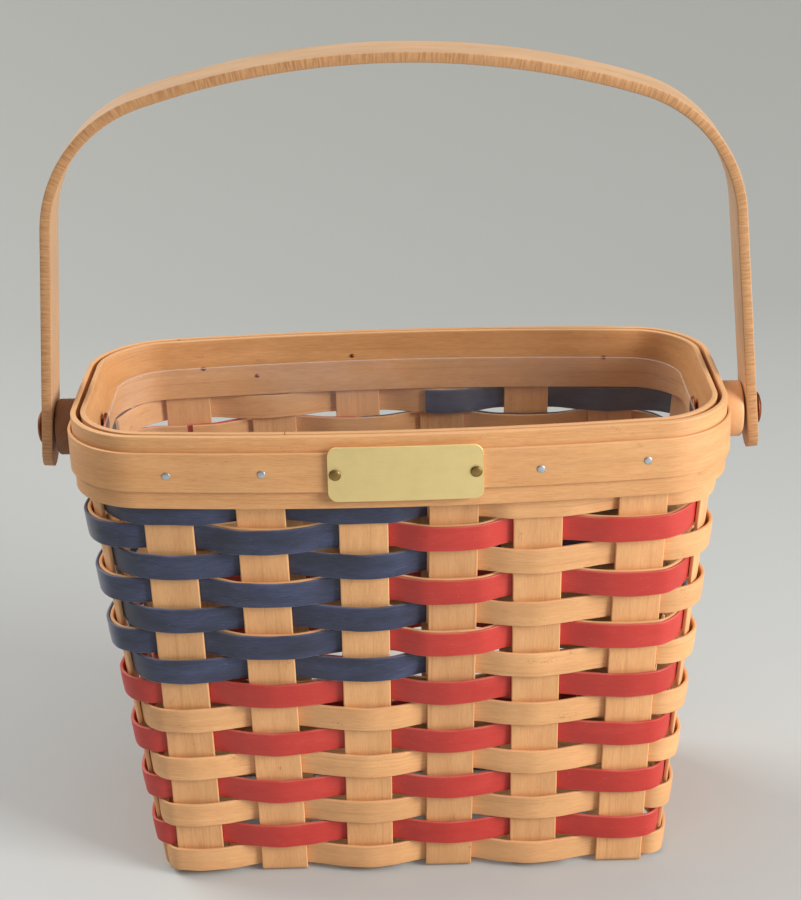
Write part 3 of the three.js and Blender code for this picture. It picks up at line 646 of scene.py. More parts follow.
def spread(tree, value, low, high, new_low=0.0, new_high=1.0):
    """Stretches low to high of a value over new_low to new_high, and holds it there."""
    inputs = {0: value, 1: low, 2: high, 3: new_low, 4: new_high}
    return add(tree, "ShaderNodeMapRange", inputs, clamp=True).outputs[0]


def blend_colours(tree, factor, first, second):
    """Mixes two colours by a factor."""
    return add(
        tree, "ShaderNodeMix", {0: factor, 6: first, 7: second}, data_type="RGBA"
    ).outputs[2]


def combine(tree, operation, first, second):
    """The sum or product of two values."""
    return add(tree, "ShaderNodeMath", {0: first, 1: second}, operation=operation).outputs[0]


def scale_colour(tree, body, factor):
    """A colour made darker or lighter by a factor."""
    inputs = {0: body, "Scale": factor}
    return add(tree, "ShaderNodeVectorMath", inputs, operation="SCALE").outputs[0]


def mark(tree, name):
    """One of the two things known at each point of a piece: its edge mark or strip place."""
    return add(tree, "ShaderNodeAttribute", attribute_name=name).outputs


def relief(tree, shader, height, strength, depth):
    """Raises the surface by a height pattern, depth metres at full strength."""
    inputs = {"Height": height, "Strength": strength, "Distance": depth}
    fill(tree, shader, {"Normal": add(tree, "ShaderNodeBump", inputs).outputs[0]})


def strip_tone(tree, body, low, high):
    """A colour made a little darker or lighter, by its own amount for each strip."""
    parts = add(tree, "ShaderNodeSeparateXYZ", {0: mark(tree, "strip")["Vector"]})
    seed = {"W": parts.outputs[2]}
    chance = add(tree, "ShaderNodeTexWhiteNoise", seed, noise_dimensions="1D")
    return scale_colour(tree, body, spread(tree, chance.outputs["Value"], 0.0, 1.0, low, high))


def wood(name, light, dark, fibre, roughness, depth, edge_share, edge_stain_and_painted_light, edge_light=None):
    """Straight-grained wood cut along the fibre, with each strip in a tone of its own.

    fibre is a fibre's width, depth the height of the grain, and edge_share how much of the
    edge's colour the eased edges take."""
    material, tree, shader = new_material(name)
    if not tree:
        return material
    edge_colour = linear(edge_stain_and_painted_light)
    if edge_light:
        ticks = spread(tree, strip_noise(tree, 0.0006, 0.0060, 37.0, 3.0), 0.35, 0.65)
        edge_colour = blend_colours(tree, ticks, edge_colour, linear(edge_light))
    fibres = strip_noise(tree, fibre * 16, fibre, 41.0, 4.0)
    figure = strip_noise(tree, 0.060, 0.0040, 17.0, 3.0)
    streaks = strip_noise(tree, 0.110, 0.0013, 29.0, 2.0)
    pores = strip_noise(tree, 0.0022, 0.00022, 90.0, 1.0)
    patches = strip_noise(tree, 0.030, 0.012, 7.0, 1.0)
    broad = spread(tree, figure, 0.3, 0.7, 0.0, 0.45)
    grain = combine(tree, "ADD", spread(tree, fibres, 0.2, 0.8), broad)
    body = blend_colours(tree, spread(tree, grain, 0.3, 1.1), dark, light)
    patchy = spread(tree, patches, 0.3, 0.7, 0.94, 1.06)
    toned = scale_colour(tree, strip_tone(tree, body, 0.93, 1.07), patchy)
    stain = linear("b87a48")
    lined = blend_colours(tree, spread(tree, streaks, 0.60, 0.76, 0.0, 0.45), toned, stain)
    pored = blend_colours(tree, spread(tree, pores, 0.62, 0.80, 0.0, 0.45), lined, stain)
    clusters = spread(tree, strip_noise(tree, 0.011, 0.006, 53.0, 1.0), 0.66, 0.78, 0.0, 0.6)
    flecks = spread(tree, strip_noise(tree, 0.0011, 0.0005, 77.0, 2.0), 0.50, 0.62)
    share = combine(tree, "MULTIPLY", clusters, flecks)
    flecked = blend_colours(tree, share, pored, linear("8f5a34"))
    # The eased edges take the edge colour: a painted highlight on the splints and bands, painted
    # shade on the left spacer, and real stain on the handle's sawn edges.
    share = combine(tree, "MULTIPLY", mark(tree, "edge")["Fac"], edge_share)
    wear_and_painted_light = blend_colours(tree, share, flecked, edge_colour)
    relief(tree, shader, fibres, 0.5, depth)
    rough = spread(tree, figure, 0.3, 0.7, roughness - 0.05, roughness + 0.05)
    fill(tree, shader, {"Base Color": wear_and_painted_light, "Roughness": rough, "IOR": WOOD_IOR})
    return material


def maple_splint(colours):
    """Maple splint, planed thin and given a light clear stain.

    The eye sees fine straight fibre along the strip and faint darker streaks a few millimetres
    wide; the cut edges are painted paler, a painted highlight where they catch the light.
    """
    light, dark = colours.splint_light, colours.splint_dark
    look = {"fibre": 0.00035, "roughness": 0.48, "depth": 0.00004}
    # The pale edge colour is a painted highlight for eased edges catching the light.
    return wood("maple_splint_stained", light, dark, **look, edge_share=0.35, edge_stain_and_painted_light="eebd8c")


def dyed_splint(name, body, wear_and_painted_light, pale, sheen):
    """Maple splint dyed in the strip: the dye sinks in unevenly, so fibres show through, small
    flecks stay pale, the cut edges show undyed wood, and raised fibres give a dusty sheen where
    a strip turns away."""
    material, tree, shader = new_material(name)
    if not tree:
        return material
    fibres = strip_noise(tree, 0.004, 0.00035, 41.0, 4.0)
    figure = strip_noise(tree, 0.030, 0.0040, 17.0, 3.0)
    flecks = strip_noise(tree, 0.0020, 0.00030, 66.0, 1.0)
    patches = strip_noise(tree, 0.020, 0.008, 5.0, 2.0)
    broad = spread(tree, figure, 0.3, 0.75, 0.0, 0.6)
    uneven = combine(tree, "ADD", spread(tree, fibres, 0.30, 0.80), broad)
    shared = combine(tree, "MULTIPLY", uneven, spread(tree, patches, 0.3, 0.7, 0.15, 0.5))
    dyed = blend_colours(tree, spread(tree, shared, 0.05, 0.9), body, wear_and_painted_light)
    dyed = strip_tone(tree, dyed, 0.86, 1.2)
    flecked = blend_colours(tree, spread(tree, flecks, 0.70, 0.80, 0.0, 0.4), dyed, pale)
    bare = spread(tree, patches, 0.35, 0.65, 0.05, 0.45)
    share = combine(tree, "MULTIPLY", mark(tree, "edge")["Fac"], bare)
    worn_edge = blend_colours(tree, share, flecked, pale)
    relief(tree, shader, fibres, 0.5, 0.00005)
    rough = spread(tree, figure, 0.3, 0.7, 0.40, 0.50)
    fill(tree, shader, {"Base Color": worn_edge, "Roughness": rough, "IOR": WOOD_IOR})
    fill(tree, shader, {"Sheen Weight": sheen, "Sheen Roughness": 0.4})
    return material


def bent_band(colours):
    """Maple band, sawn thin, steam-bent and satin-stained: broader figure than the splints, a
    little sheen, and eased edges painted paler as a painted highlight where they catch the light."""
    light, dark = colours.band_light, colours.band_dark
    look = {"fibre": 0.00035, "roughness": 0.50, "depth": 0.00005}
    # The pale edge colour is a painted highlight for eased edges catching the light.
    return wood("maple_band_satin", light, dark, **look, edge_share=0.45, edge_stain_and_painted_light="e8b682")


def bent_handle(colours):
    """Maple handle, steam-bent and satin-stained: pale broad faces, and sawn edges that took
    more stain and show the ends of the fibres as short ticks across."""
    light, dark = colours.handle_light, colours.handle_dark
    look = {"fibre": 0.0005, "roughness": 0.55, "depth": 0.00006}
    edges = {"edge_share": 0.9, "edge_stain_and_painted_light": "b0794a", "edge_light": "d6a16c"}
    return wood("maple_handle_satin", light, dark, **look, **edges)


def left_spacer_painted_shade(colours):
    """Maple turning, end grain outward, as a deep red brown disc: painted shade from the handle
    arm and rim.
    """
    light, dark = colours.left_spacer_shade_light, colours.left_spacer_shade_dark
    look = {"fibre": 0.0004, "roughness": 0.60, "depth": 0.00005}
    return wood("maple_spacer_painted_shade", light, dark, **look, edge_share=0.4, edge_stain_and_painted_light="6e4526")


def metal(name, body, dull_hex, mottle, roughness, scratch):
    """A metal with fine scratches and dull patches.

    mottle is how dull the patches are, and scratch a scratch's length and width."""
    material, tree, shader = new_material(name)
    if not tree:
        return material
    dull = linear(dull_hex)
    scratches = strip_noise(tree, *scratch, 31.0, 3.0)
    patches = strip_noise(tree, 0.006, 0.005, 11.0, 3.0)
    shaded = blend_colours(tree, spread(tree, patches, 0.4, 0.75, 0.0, mottle), body, dull)
    share = combine(tree, "MULTIPLY", mark(tree, "edge")["Fac"], 0.5)
    wear_and_painted_light = blend_colours(tree, share, shaded, dull)
    rough = spread(tree, scratches, 0.3, 0.7, roughness - 0.07, roughness + 0.1)
    relief(tree, shader, scratches, 0.3, 0.00003)
    fill(tree, shader, {"Base Color": wear_and_painted_light, "Roughness": rough, "Metallic": 1.0})
    return material


def satin_brass(colours):
    """Rolled brass sheet with a satin face: pale yellow, finely brushed along its length."""
    look = {"mottle": 0.25, "roughness": 0.58, "scratch": (0.012, 0.00015)}
    return metal("brass_satin", colours.brass, "e6cf90", **look)


def aged_brass(colours):
    """Pin of brass left unpolished: brown and dark, with a faint gleam on its rim."""
    look = {"mottle": 0.7, "roughness": 0.45, "scratch": (0.0012, 0.0005)}
    return metal("brass_aged", colours.pin, "4c3b24", **look)


def dulled_copper(colours):
    """Copper rivet, hammered and dulled by air: red brown, soft highlights."""
    look = {"mottle": 0.6, "roughness": 0.45, "scratch": (0.002, 0.0006)}
    return metal("copper_dulled", colours.copper, "6e3a24", **look)


def bright_steel(colours):
    """Steel nail with a domed, hammered head: grey with small bright spots."""
    look = {"mottle": 0.4, "roughness": 0.42, "scratch": (0.0008, 0.0005)}
    return metal("steel_nail", colours.steel, "75787c", **look)


def clear_sheet():
    """Clear moulded sheet plastic, handled: almost colourless and glossy, milky with rubs only
    near its upper edge, where hands reach, and clear below, so the shade behind the weave
    stays dark; the slow waves of a thin moulding show in its gleams."""
    material, tree, shader = new_material("clear_moulded_sheet")
    if not tree:
        return material
    haze = strip_noise(tree, 0.030, 0.020, 3.0, 3.0)
    rubs = strip_noise(tree, 0.010, 0.0012, 23.0, 2.0)
    rough = spread(tree, rubs, 0.3, 0.8, 0.03, 0.10)
    fill(tree, shader, {"Base Color": linear("eef1f2"), "Roughness": rough, "IOR": SHEET_IOR})
    place = add(tree, "ShaderNodeTexCoord").outputs["Object"]
    height = add(tree, "ShaderNodeSeparateXYZ", {0: place}).outputs["Z"]
    handled = spread(tree, height, 0.115, 0.150, 0.12, 1.0)
    milky = spread(tree, haze, 0.35, 0.75, 0.10, 0.35)
    rubbed = combine(tree, "MULTIPLY", milky, handled)
    cover = combine(tree, "ADD", rubbed, mark(tree, "edge")["Fac"])
    fill(tree, shader, {"Alpha": spread(tree, cover, 0.0, 1.1, 0.0, 0.28)})
    relief(tree, shader, strip_noise(tree, 0.018, 0.012, 8.0, 1.0), 0.6, 0.0008)
    return material


def add_stake(wall, name, start, end, crossings, fixed, seed, material):
    """One splint: down one wall, over and under its crossings in the base, up the other wall.

    crossings holds (place, height) along the run and fixed is the splint's own place; a run
    along Y is a long splint and one along X a cross splint."""
    s = wall.splints
    across, out, edge, run = section(s.stake_width, s.stake_thick, STAKE_EDGE)
    is_long = wall.stake(start)[0] == 0
    rings = []

    def wall_rings(number, way, heights):
        side, at, slope = wall.stake(number)
        for z in heights:
            along = at + slope * z + way * across
            rings.append(wall.off(side, along, z, out))

    def bend_rings(number, way, floor, degrees):
        side, at, slope = wall.stake(number)
        z = floor + s.bend_radius
        along = at + slope * z + way * across
        flat = wall.normal(side, along, z)
        flat[:, 2] = 0
        flat /= np.linalg.norm(flat, axis=1, keepdims=True)
        point = wall.point(side, along, z)
        for degree in degrees:
            turn = math.radians(degree)
            normal = flat * math.sin(turn) + np.array([0, 0, -math.cos(turn)])
            centre = point - flat * s.bend_radius
            rings.append(centre + normal * (s.bend_radius + out[:, None]))

    top = s.long_top if is_long else s.cross_top
    heights = np.concatenate([np.linspace(top, STRAIGHT_TO, 42), FOOT_HEIGHTS])
    floor_first, floor_last = crossings[0][1], crossings[-1][1]
    wall_rings(start, 1, heights)
    bend_rings(start, 1, floor_first, BEND_DEGREES)
    places, levels = [], []
    for place, level in crossings:
        places += [place - s.stake_width / 2, place + s.stake_width / 2]
        levels += [level, level]
    first = abs(rings[-1][:, 1 if is_long else 0]).mean()
    for p in np.linspace(-first, first, 52 if is_long else 90)[1:-1]:
        z = levels[0]
        if p > places[-1]:
            z = levels[-1]
        elif p > places[0]:
            z = float(smooth_through(places, levels, np.array([p]))[0])
        if is_long:
            flat = [fixed + across, np.full_like(across, p)]
        else:
            flat = [np.full_like(across, p), fixed - across]
        rings.append(np.stack([*flat, z - out], -1))
    bend_rings(end, -1, floor_last, BEND_DEGREES[::-1])
    wall_rings(end, -1, heights[::-1])
    rings = np.array(rings)
    middle = rings.mean(1)
    along = np.concatenate([[0], np.cumsum(np.linalg.norm(np.diff(middle, axis=0), axis=1))])
    return add_strip(name, rings, along, run, edge, seed, material)


class BASKET_OT_stakes(bpy.types.Operator):
    """Lays the nine splints that cross in the base and stand up as eighteen stakes"""

    bl_idname = "basket.stakes"
    bl_label = "Lay the Stakes"

    def execute(self, context):
        wall = Wall(context.scene)
        s = wall.splints
        material = maple_splint(context.scene.basket_colours)
        base = wall.size.base_half_length - s.stake_width / 2 - s.base_end_margin
        side = wall.size.base_half_depth - s.stake_width / 2 - s.base_side_margin
        longs = [base * (i - MIDDLE_LONG) / MIDDLE_LONG + s.base_drift[i] for i in range(LONGS)]
        crosses = [side * (j - 1) for j in range(CROSSES)]
        high, low = s.base_middle + s.base_wave, s.base_middle - s.base_wave
        splints = []
        for i in range(LONGS):
            levels = [high if (i + j) % 2 == 0 else low for j in range(CROSSES)]
            runs = i, LEFT - 1 - i, list(zip(crosses, levels)), longs[i], i + 1
            splints.append((f"stake_long_{i + 1}", runs))
        for j, place in enumerate(("front", "middle", "back")):
            levels = [low if (i + j) % 2 == 0 else high for i in range(LONGS)]
            runs = ALL - 1 - j, RIGHT + j, list(zip(longs, levels)), crosses[j], j + 8
            splints.append((f"stake_cross_{place}", runs))
        for name, runs in splints:
            piece = add_stake(wall, name + "_splint", *runs, material)
            finish_piece(piece, "basket", "splint_natural", name)
        return {"FINISHED"}


def weaver_knots(wall, start, end, offsets, ends):
    """Spans of a weaver from knot to knot: the side, and two knots that hold the place at the
    floor, how that changes with height, and the distance off the wall."""
    reach = wall.splints.stake_width / 2
    quarter = wall.outline(0.0)[4], wall.outline(1.0)[4] - wall.outline(0.0)[4]
    spans = []
    before = None
    for number in range(start, end + 1):
        side, at, slope = wall.stake(number)
        edge, crown = offsets(number)
        first = ends[0] if number == start else -math.inf
        last = ends[1] if number == end else math.inf
        marks = [f for f in (-1, 0, 1) if first + KNOT_MARGIN < f < last - KNOT_MARGIN]
        if number == start:
            marks.insert(0, first)
        if number == end:
            marks.append(last)
        for f in marks:
            knot = (at + f * reach, slope, mix(crown, edge, min(abs(f), 1)))
            if before is not None and before[0] == side:
                spans.append((side, before[1], knot))
            before = (side, knot)
        if number == end:
            break
        next_side, next_at, next_slope = wall.stake(number + 1)
        if next_side == side:
            continue
        next_edge = offsets(number + 1)[0]
        near = (at + reach, slope)
        far = (quarter[0] + next_at - reach, quarter[1] + next_slope)
        for t0, t1 in zip(CORNER_STOPS, CORNER_STOPS[1:]):
            knots = [
                (mix(near[0], far[0], t), mix(near[1], far[1], t), mix(edge, next_edge, t))
                for t in (t0, t1)
            ]
            spans.append((side, *knots))
        before = (next_side, (next_at - reach, next_slope, next_edge))
    return spans


def add_weaver(wall, name, row, start, end, thick, offsets, ends, seed, material):
    """A weaver of one row from stake start to stake end; offsets gives its distance off the
    wall over each stake's edge and middle, and ends are its places on the first and the last
    stake, where -1 and 1 are the edges."""
    s = wall.splints
    t = (row - 1) / (s.rows - 1)
    level = mix(s.bottom_row, s.top_row, t) - 4 * s.row_sag * t * (1 - t)
    spans = weaver_knots(wall, start, end, offsets, ends)
    sides, places, slopes, runs = [], [], [], []
    knot_runs, knot_offs, total = [0.0], [spans[0][1][2]], 0.0
    for side, first, last in spans:
        length = (last[0] + last[1] * level) - (first[0] + first[1] * level)
        if length < SHORTEST_SPAN:
            continue
        steps = max(2, round(length / WEAVER_STEP))
        for k in range(steps):
            t = k / steps
            sides.append(side)
            places.append(mix(first[0], last[0], t))
            slopes.append(mix(first[1], last[1], t))
            runs.append(total + length * t)
        total += length
        knot_runs.append(total)
        knot_offs.append(last[2])
    sides.append(spans[-1][0])
    places.append(spans[-1][2][0])
    slopes.append(spans[-1][2][1])
    runs.append(total)
    runs = np.array(runs)
    off = smooth_through(knot_runs, knot_offs, runs)
    across, out, edge, run = section(s.weaver_width, thick, WEAVER_EDGE, crown=WEAVER_CROWN)
    stray = s.waver * ripple(runs, int(seed * 7), SLOW_STRAY)
    fuzz = s.waver * WIDTH_STRAY * ripple(runs, int(seed * 11) + 1, FINE_STRAY)
    z = level + stray[:, None] + across[None] * (1 + fuzz[:, None] / (s.weaver_width / 2))
    along = np.array(places)[:, None] + np.array(slopes)[:, None] * z
    rings = wall.off(np.array(sides)[:, None], along, z, off[:, None] + out[None])
    return add_strip(name, rings, runs, run, edge, seed, material)


def is_outside(row, stake):
    """Whether a row passes outside a stake."""
    return (row + stake) % 2 == 1


class BASKET_OT_weavers(bpy.types.Operator):
    """Weaves the fifteen rows, over one stake and under the next, with their dyed strips"""

    bl_idname = "basket.weavers"
    bl_label = "Weave the Rows"

    def execute(self, context):
        wall = Wall(context.scene)
        s = wall.splints
        colours = context.scene.basket_colours
        plain, blue, red = "splint_natural", "splint_blue", "splint_red"
        blues = colours.blue, colours.blue_worn, linear("8d91a3")
        reds = colours.red, colours.red_worn, linear("e0a08c")
        finishes = {
            plain: maple_splint(colours),
            blue: dyed_splint("maple_splint_dyed_blue", *blues, sheen=0.35),
            red: dyed_splint("maple_splint_dyed_red", *reds, sheen=0.0),
        }
        reach = s.stake_width / 2
        spliced_ends = -1 - SPLICE_BEFORE / reach, 1 - SPLICE_SHORT / reach
        butted_ends = BUTT_SHORT / reach, -BUTT_SHORT / reach
        seeds = itertools.count(21)

        def lay(name, slot, row, start, end, thick, offsets, ends):
            looks = next(seeds), finishes[slot]
            piece = add_weaver(
                wall, name + "_splint", row, start, end, thick, offsets, ends, *looks
            )
            finish_piece(piece, "basket", slot, name)

        def spliced(name, slot, row, start, end):
            def offsets(number):
                way = 1 if is_outside(row, number) else -1
                flat = row == s.rows and way == 1
                back = s.second_off if number == end else 0
                crown = way * (s.edge_off if flat else s.crown_off)
                return way * s.edge_off - back, crown - back

            lay(name, slot, row, start, end, s.weaver_thick, offsets, spliced_ends)

        def butted(name, slot, row, start, end, thick, step):
            def offsets(number):
                edge, crown = PAIR_OUTSIDE if is_outside(row, number) else PAIR_INSIDE
                return edge + step, crown + step

            lay(name, slot, row, start, end, thick, offsets, butted_ends)

        for row in range(1, s.rows + 1):
            name = f"weaver_{row:02d}"
            if row <= PLAIN_ROWS:
                seam = BACK + 2 if row % 2 else BACK + 3
                spliced(name, plain if row % 2 else red, row, seam, seam + ALL)
            elif row % 2:
                spliced(name + "_blue_front", blue, row, LEFT, ALL + 3)
                spliced(name + "_plain_front", plain, row, 3, RIGHT + 1)
                spliced(name + "_blue_back", blue, row, RIGHT + 1, BACK + 2)
                spliced(name + "_plain_back", plain, row, BACK + 2, LEFT)
            else:
                thin, step = s.overlay_thick, s.overlay_step
                butted(name + "_plain", plain, row, BACK + 5, BACK + 5 + ALL, s.weaver_thick, 0)
                butted(name + "_blue_front", blue, row, LEFT + 1, ALL + 2, thin, step)
                butted(name + "_red_front", red, row, 2, RIGHT, thin, step)
                butted(name + "_blue_back", blue, row, RIGHT, BACK + 3, thin, step)
                butted(name + "_red_back", red, row, BACK + 3, LEFT + 1, thin, step)
        return {"FINISHED"}


class Rim:
    """Where the three bands of the rim lie."""

    def __init__(self, scene):
        self.wall = Wall(scene)
        self.size = scene.basket_rim
        self.top = scene.basket_wall.rim_height
        self.quarter = self.wall.outline(self.top)[4]

    def outer(self, place, z):
        """Inner face of the outer band, which closes on the stakes at the front and back."""
        s = self.size
        end = np.sin(place * math.pi / 2) ** 2
        top = mix(s.outer_top, s.outer_top_end, end * end)
        return mix(s.outer_low, top, (z - s.outer_bottom) / (self.top - s.outer_bottom))

    def trim(self, place, z):
        """Inner face of the narrow band."""
        return self.outer(place, z) + self.size.band_thick + self.size.gap

    def plate(self, place, z):
        """Inner face of the brass plate."""
        return self.trim(place, z) + self.size.trim_thick + self.size.gap

    def add_band(self, name, places, low, high, inner, thick, seed, material):
        """A band; inner gives its inner face at a place and height, thick its thickness."""
        full = self.size.band_thick
        flat, deep, edge, run = section(high - low, full, self.size.edge_round, spans=8)
        z = (low + high) / 2 + flat[None] + np.zeros((len(places), 1))
        place = places[:, None] + np.zeros_like(z)
        share = deep[None] / full + 0.5
        reach = inner(place, z) + share * thick(places)[:, None]
        rings = self.wall.rim_point(place, z, reach)
        return add_strip(name, rings, places * self.quarter, run, edge, seed, material)


class BASKET_OT_rim(bpy.types.Operator):
    """Bends the inner band, the lapped outer band and the narrow trim band round the rim"""

    bl_idname = "basket.rim"
    bl_label = "Bend the Rim Bands"

    def execute(self, context):
        rim = Rim(context.scene)
        s = rim.size
        material = bent_band(context.scene.basket_colours)
        quarter = rim.quarter

        def full(value):
            return lambda places: np.full_like(places, value)

        def inner_face(place, z):
            return np.full_like(z, s.inner_off)

        def bend(name, places, low, high, inner, thick, seed):
            piece = rim.add_band(name + "_bent", places, low, high, inner, thick, seed, material)
            finish_piece(piece, "basket", "rim_wood", name + "_band")

        def butted(seam):
            start = seam / quarter
            return np.linspace(start, start + 4 - s.seam_gap / quarter, BAND_STATIONS)

        low, high = s.inner_bottom, rim.top
        bend("rim_inner", butted(s.inner_seam), low, high, inner_face, full(s.band_thick), 71)

        half, ramp = s.lap_half / quarter, s.lap_ramp / quarter
        lap_start, lap_end = 2 - half, 2 + half
        places = np.concatenate(
            [
                np.linspace(lap_start, lap_end, LAP_STATIONS),
                np.linspace(lap_end + ramp, lap_start + 4 - ramp, LAPPED_STATIONS),
                np.linspace(lap_start + 4, lap_end + 4, LAP_STATIONS),
            ]
        )

        def thick(at):
            outer_layer = mix(s.lap_thin, s.lap_thick, (at - lap_start) / (2 * half))
            inner_layer = mix(s.lap_thick, s.lap_thin, (at - lap_start - 4) / (2 * half))
            layered = np.where(at <= lap_end, outer_layer, inner_layer)
            return np.where((at > lap_end) & (at < lap_start + 4), s.band_thick, layered)

        def inner(place, z):
            face = rim.outer(place, z)
            return np.where(place <= lap_end, face + s.band_thick - thick(place), face)

        bend("rim_outer", places, s.outer_bottom, rim.top, inner, thick, 72)

        places = butted(context.scene.basket_plate.place + SEAM_PAST_PLATE)
        bend("rim_trim", places, s.trim_bottom, s.trim_top, rim.trim, full(s.trim_thick), 73)
        return {"FINISHED"}


class BASKET_OT_nails(bpy.types.Operator):
    """Drives the small steel nails through the rim"""

    bl_idname = "basket.nails"
    bl_label = "Nail the Rim"

    def execute(self, context):
        rim = Rim(context.scene)
        s = rim.size
        steel = bright_steel(context.scene.basket_colours)
        quarter = rim.wall.outline(s.nail_height)[4]
        profile = head_profile(0, 1, s.nail_radius, NAIL_HEAD)
        for side, where, places in ((0, "front", NAILS_FRONT), (2, "back", NAILS_BACK)):
            for k, along in enumerate(places):
                z = s.nail_height + NAIL_UNEVEN[k % 2]
                face = rim.trim(along / quarter + side, z) + s.trim_thick
                origin = rim.wall.off(side, along, z, face)
                normal = rim.wall.normal(side, along, z)
                name = f"rim_nail_{where}_{k + 1}"
                piece = add_turned(name, profile, origin, normal, steel, 24, 80 + k)
                finish_piece(piece, "basket", "copper_rivet")
        tips = dulled_copper(context.scene.basket_colours)
        profile = head_profile(0, 1, s.nail_radius * NAIL_TIP_RADIUS, NAIL_TIP)
        for k, (along, z) in enumerate(zip(NAILS_BACK, NAIL_TIP_HEIGHTS)):
            origin = rim.wall.off(2, along, z, s.inner_off)
            normal = -rim.wall.normal(2, along, z)
            piece = add_turned(f"rim_nail_tip_{k + 1}", profile, origin, normal, tips, 16, 90 + k)
            finish_piece(piece, "basket", "copper_rivet")
        return {"FINISHED"}


class BASKET_OT_plate(bpy.types.Operator):
    """Fits the bare brass plate and its two pins"""

    bl_idname = "basket.plate"
    bl_label = "Fit the Brass Plate"

    def execute(self, context):
        rim = Rim(context.scene)
        p = context.scene.basket_plate
        brass = satin_brass(context.scene.basket_colours)
        aged = aged_brass(context.scene.basket_colours)
        flat, deep, edge, run = section(p.breadth, p.thick, PLATE_EDGE, spans=8)
        inset = p.corner * (1 - np.cos(np.linspace(0, math.pi / 2, 10)))
        half = p.length / 2
        straight = np.linspace(-half + p.corner, half - p.corner, 30)[1:-1]
        along = np.concatenate([-half + inset, straight, (half - inset)[::-1]])
        from_end = np.minimum(half - np.abs(along), p.corner)
        drop = p.corner - np.sqrt(p.corner**2 - (p.corner - from_end) ** 2)
        share = 1 - drop / (p.breadth / 2)
        z = p.height + flat[None] * share[:, None]
        at = (p.place + along)[:, None] + np.zeros_like(z)
        reach = rim.plate(at / rim.wall.outline(z)[4], z) + p.thick / 2 + deep[None]
        rings = rim.wall.off(0, at, z, reach)
        piece = add_strip("name_plate_brass", rings, along, run, edge, 91, brass)
        finish_piece(piece, "basket", "brass_plate", "name_plate")
        for name, way in (("plate_pin_left", -1), ("plate_pin_right", 1)):
            place, z = p.place + way * (half - p.pin_inset), p.height
            quarter = rim.wall.outline(z)[4]
            trim = float(rim.trim(place / quarter, z))
            face = float(rim.plate(place / quarter, z)) + p.thick
            foot = rim.wall.point(0, place, z)
            normal = rim.wall.normal(0, place, z)
            profile = [(trim, 0), (trim, p.pin_shaft), (face, p.pin_shaft)]
            profile.append((face + PIN_GAP, p.pin_head * PIN_FOOT))
            profile += head_profile(face, p.pin_height, p.pin_head, PIN_HEAD)
            piece = add_turned(name + "_head", profile, foot, normal, aged, 32, 92 + way)
            finish_piece(piece, "basket", "brass_plate", name)
        return {"FINISHED"}


class Hang:
    """Where the handle hangs: the pieces along the rivet, from inside the rim outwards."""

    def __init__(self, scene):
        rim = Rim(scene)
        h = scene.basket_handle
        s = rim.size

        def end_x(z, reach):
            return float(rim.wall.off(1, 0.0, z, reach)[0])

        self.size = h
        self.lean = math.tan(math.pi / 2 - h.arm_angle)
        self.arm_half = h.thick / 2 / math.sin(h.arm_angle)
        trim_outer = float(rim.trim(1.0, s.trim_top)) + s.trim_thick
        self.inner_head = end_x(h.pivot_height - h.inner_head, s.inner_off) - s.gap
        self.spacer_in = end_x(s.trim_top, trim_outer) + s.gap
        self.spacer_out = self.spacer_in + h.spacer_thick
        self.arm = self.spacer_out + h.spacer_radius * self.lean + self.arm_half + s.gap
        self.outer_head = self.arm + self.arm_half + h.rivet_head * self.lean + s.gap


class BASKET_OT_handle(bpy.types.Operator):
    """Bends the handle: straight arms, tight shoulders and a long shallow crown"""

    bl_idname = "basket.handle"
    bl_label = "Bend the Handle"

    def execute(self, context):
        hang = Hang(context.scene)
        h = hang.size
        radius_step = h.crown_radius - h.shoulder_radius
        crown_centre = h.top - h.crown_radius
        rise = crown_centre + h.shoulder_radius * math.cos(h.arm_angle) - h.pivot_height
        spread_out = hang.arm - h.shoulder_radius * math.sin(h.arm_angle) - rise * hang.lean
        crown_end = math.asin(spread_out / (radius_step * math.hypot(1, hang.lean)))
        crown_end -= math.atan(hang.lean)
        shoulder_x = radius_step * math.sin(crown_end)
        shoulder_z = crown_centre + radius_step * math.cos(crown_end)
        arm_top = shoulder_z + h.shoulder_radius * math.cos(h.arm_angle)
        full = h.width / 2
        foot = h.pivot_height - h.tail
        path = []
        for turn in np.linspace(TAIL_FIRST_TURN, math.pi / 2, 12):
            drop = full * (1 - math.cos(turn))
            path.append((foot + drop, math.sqrt(full**2 - (full - drop) ** 2)))
        path += [(z, full) for z in np.linspace(foot + full, arm_top, 26)[1:-1]]
        right = []
        for z, half in path:
            right.append((hang.arm + (h.pivot_height - z) * hang.lean, z, h.arm_angle, half))
        turns = np.linspace(h.arm_angle, crown_end, 28), np.linspace(crown_end, 0, 28)[1:]
        shoulder = shoulder_x, shoulder_z, h.shoulder_radius, turns[0]
        crown = 0, crown_centre, h.crown_radius, turns[1]
        for x, z, radius, angles in (shoulder, crown):
            for angle in angles:
                place = x + radius * math.sin(angle), z + radius * math.cos(angle)
                right.append((*place, angle, full))
        left = [(-x, z, -angle, half) for x, z, angle, half in right]
        stations = np.array(left + right[:-1][::-1])
        across, out, edge, run = section(h.width, h.thick, HANDLE_EDGE, spans=6)
        width = across[None] * stations[:, 3:] / full
        lean = stations[:, 2:3]
        x = stations[:, 0:1] + np.sin(lean) * out[None]
        z = stations[:, 1:2] + np.cos(lean) * out[None]
        rings = np.stack([x, width, z], -1)
        steps = np.linalg.norm(np.diff(stations[:, :2], axis=0), axis=1)
        along = np.concatenate([[0], np.cumsum(steps)])
        material = bent_handle(context.scene.basket_colours)
        piece = add_strip("handle_bent", rings, along, run, edge, 61, material)
        finish_piece(piece, "handle", "handle_wood", "handle")
        return {"FINISHED"}


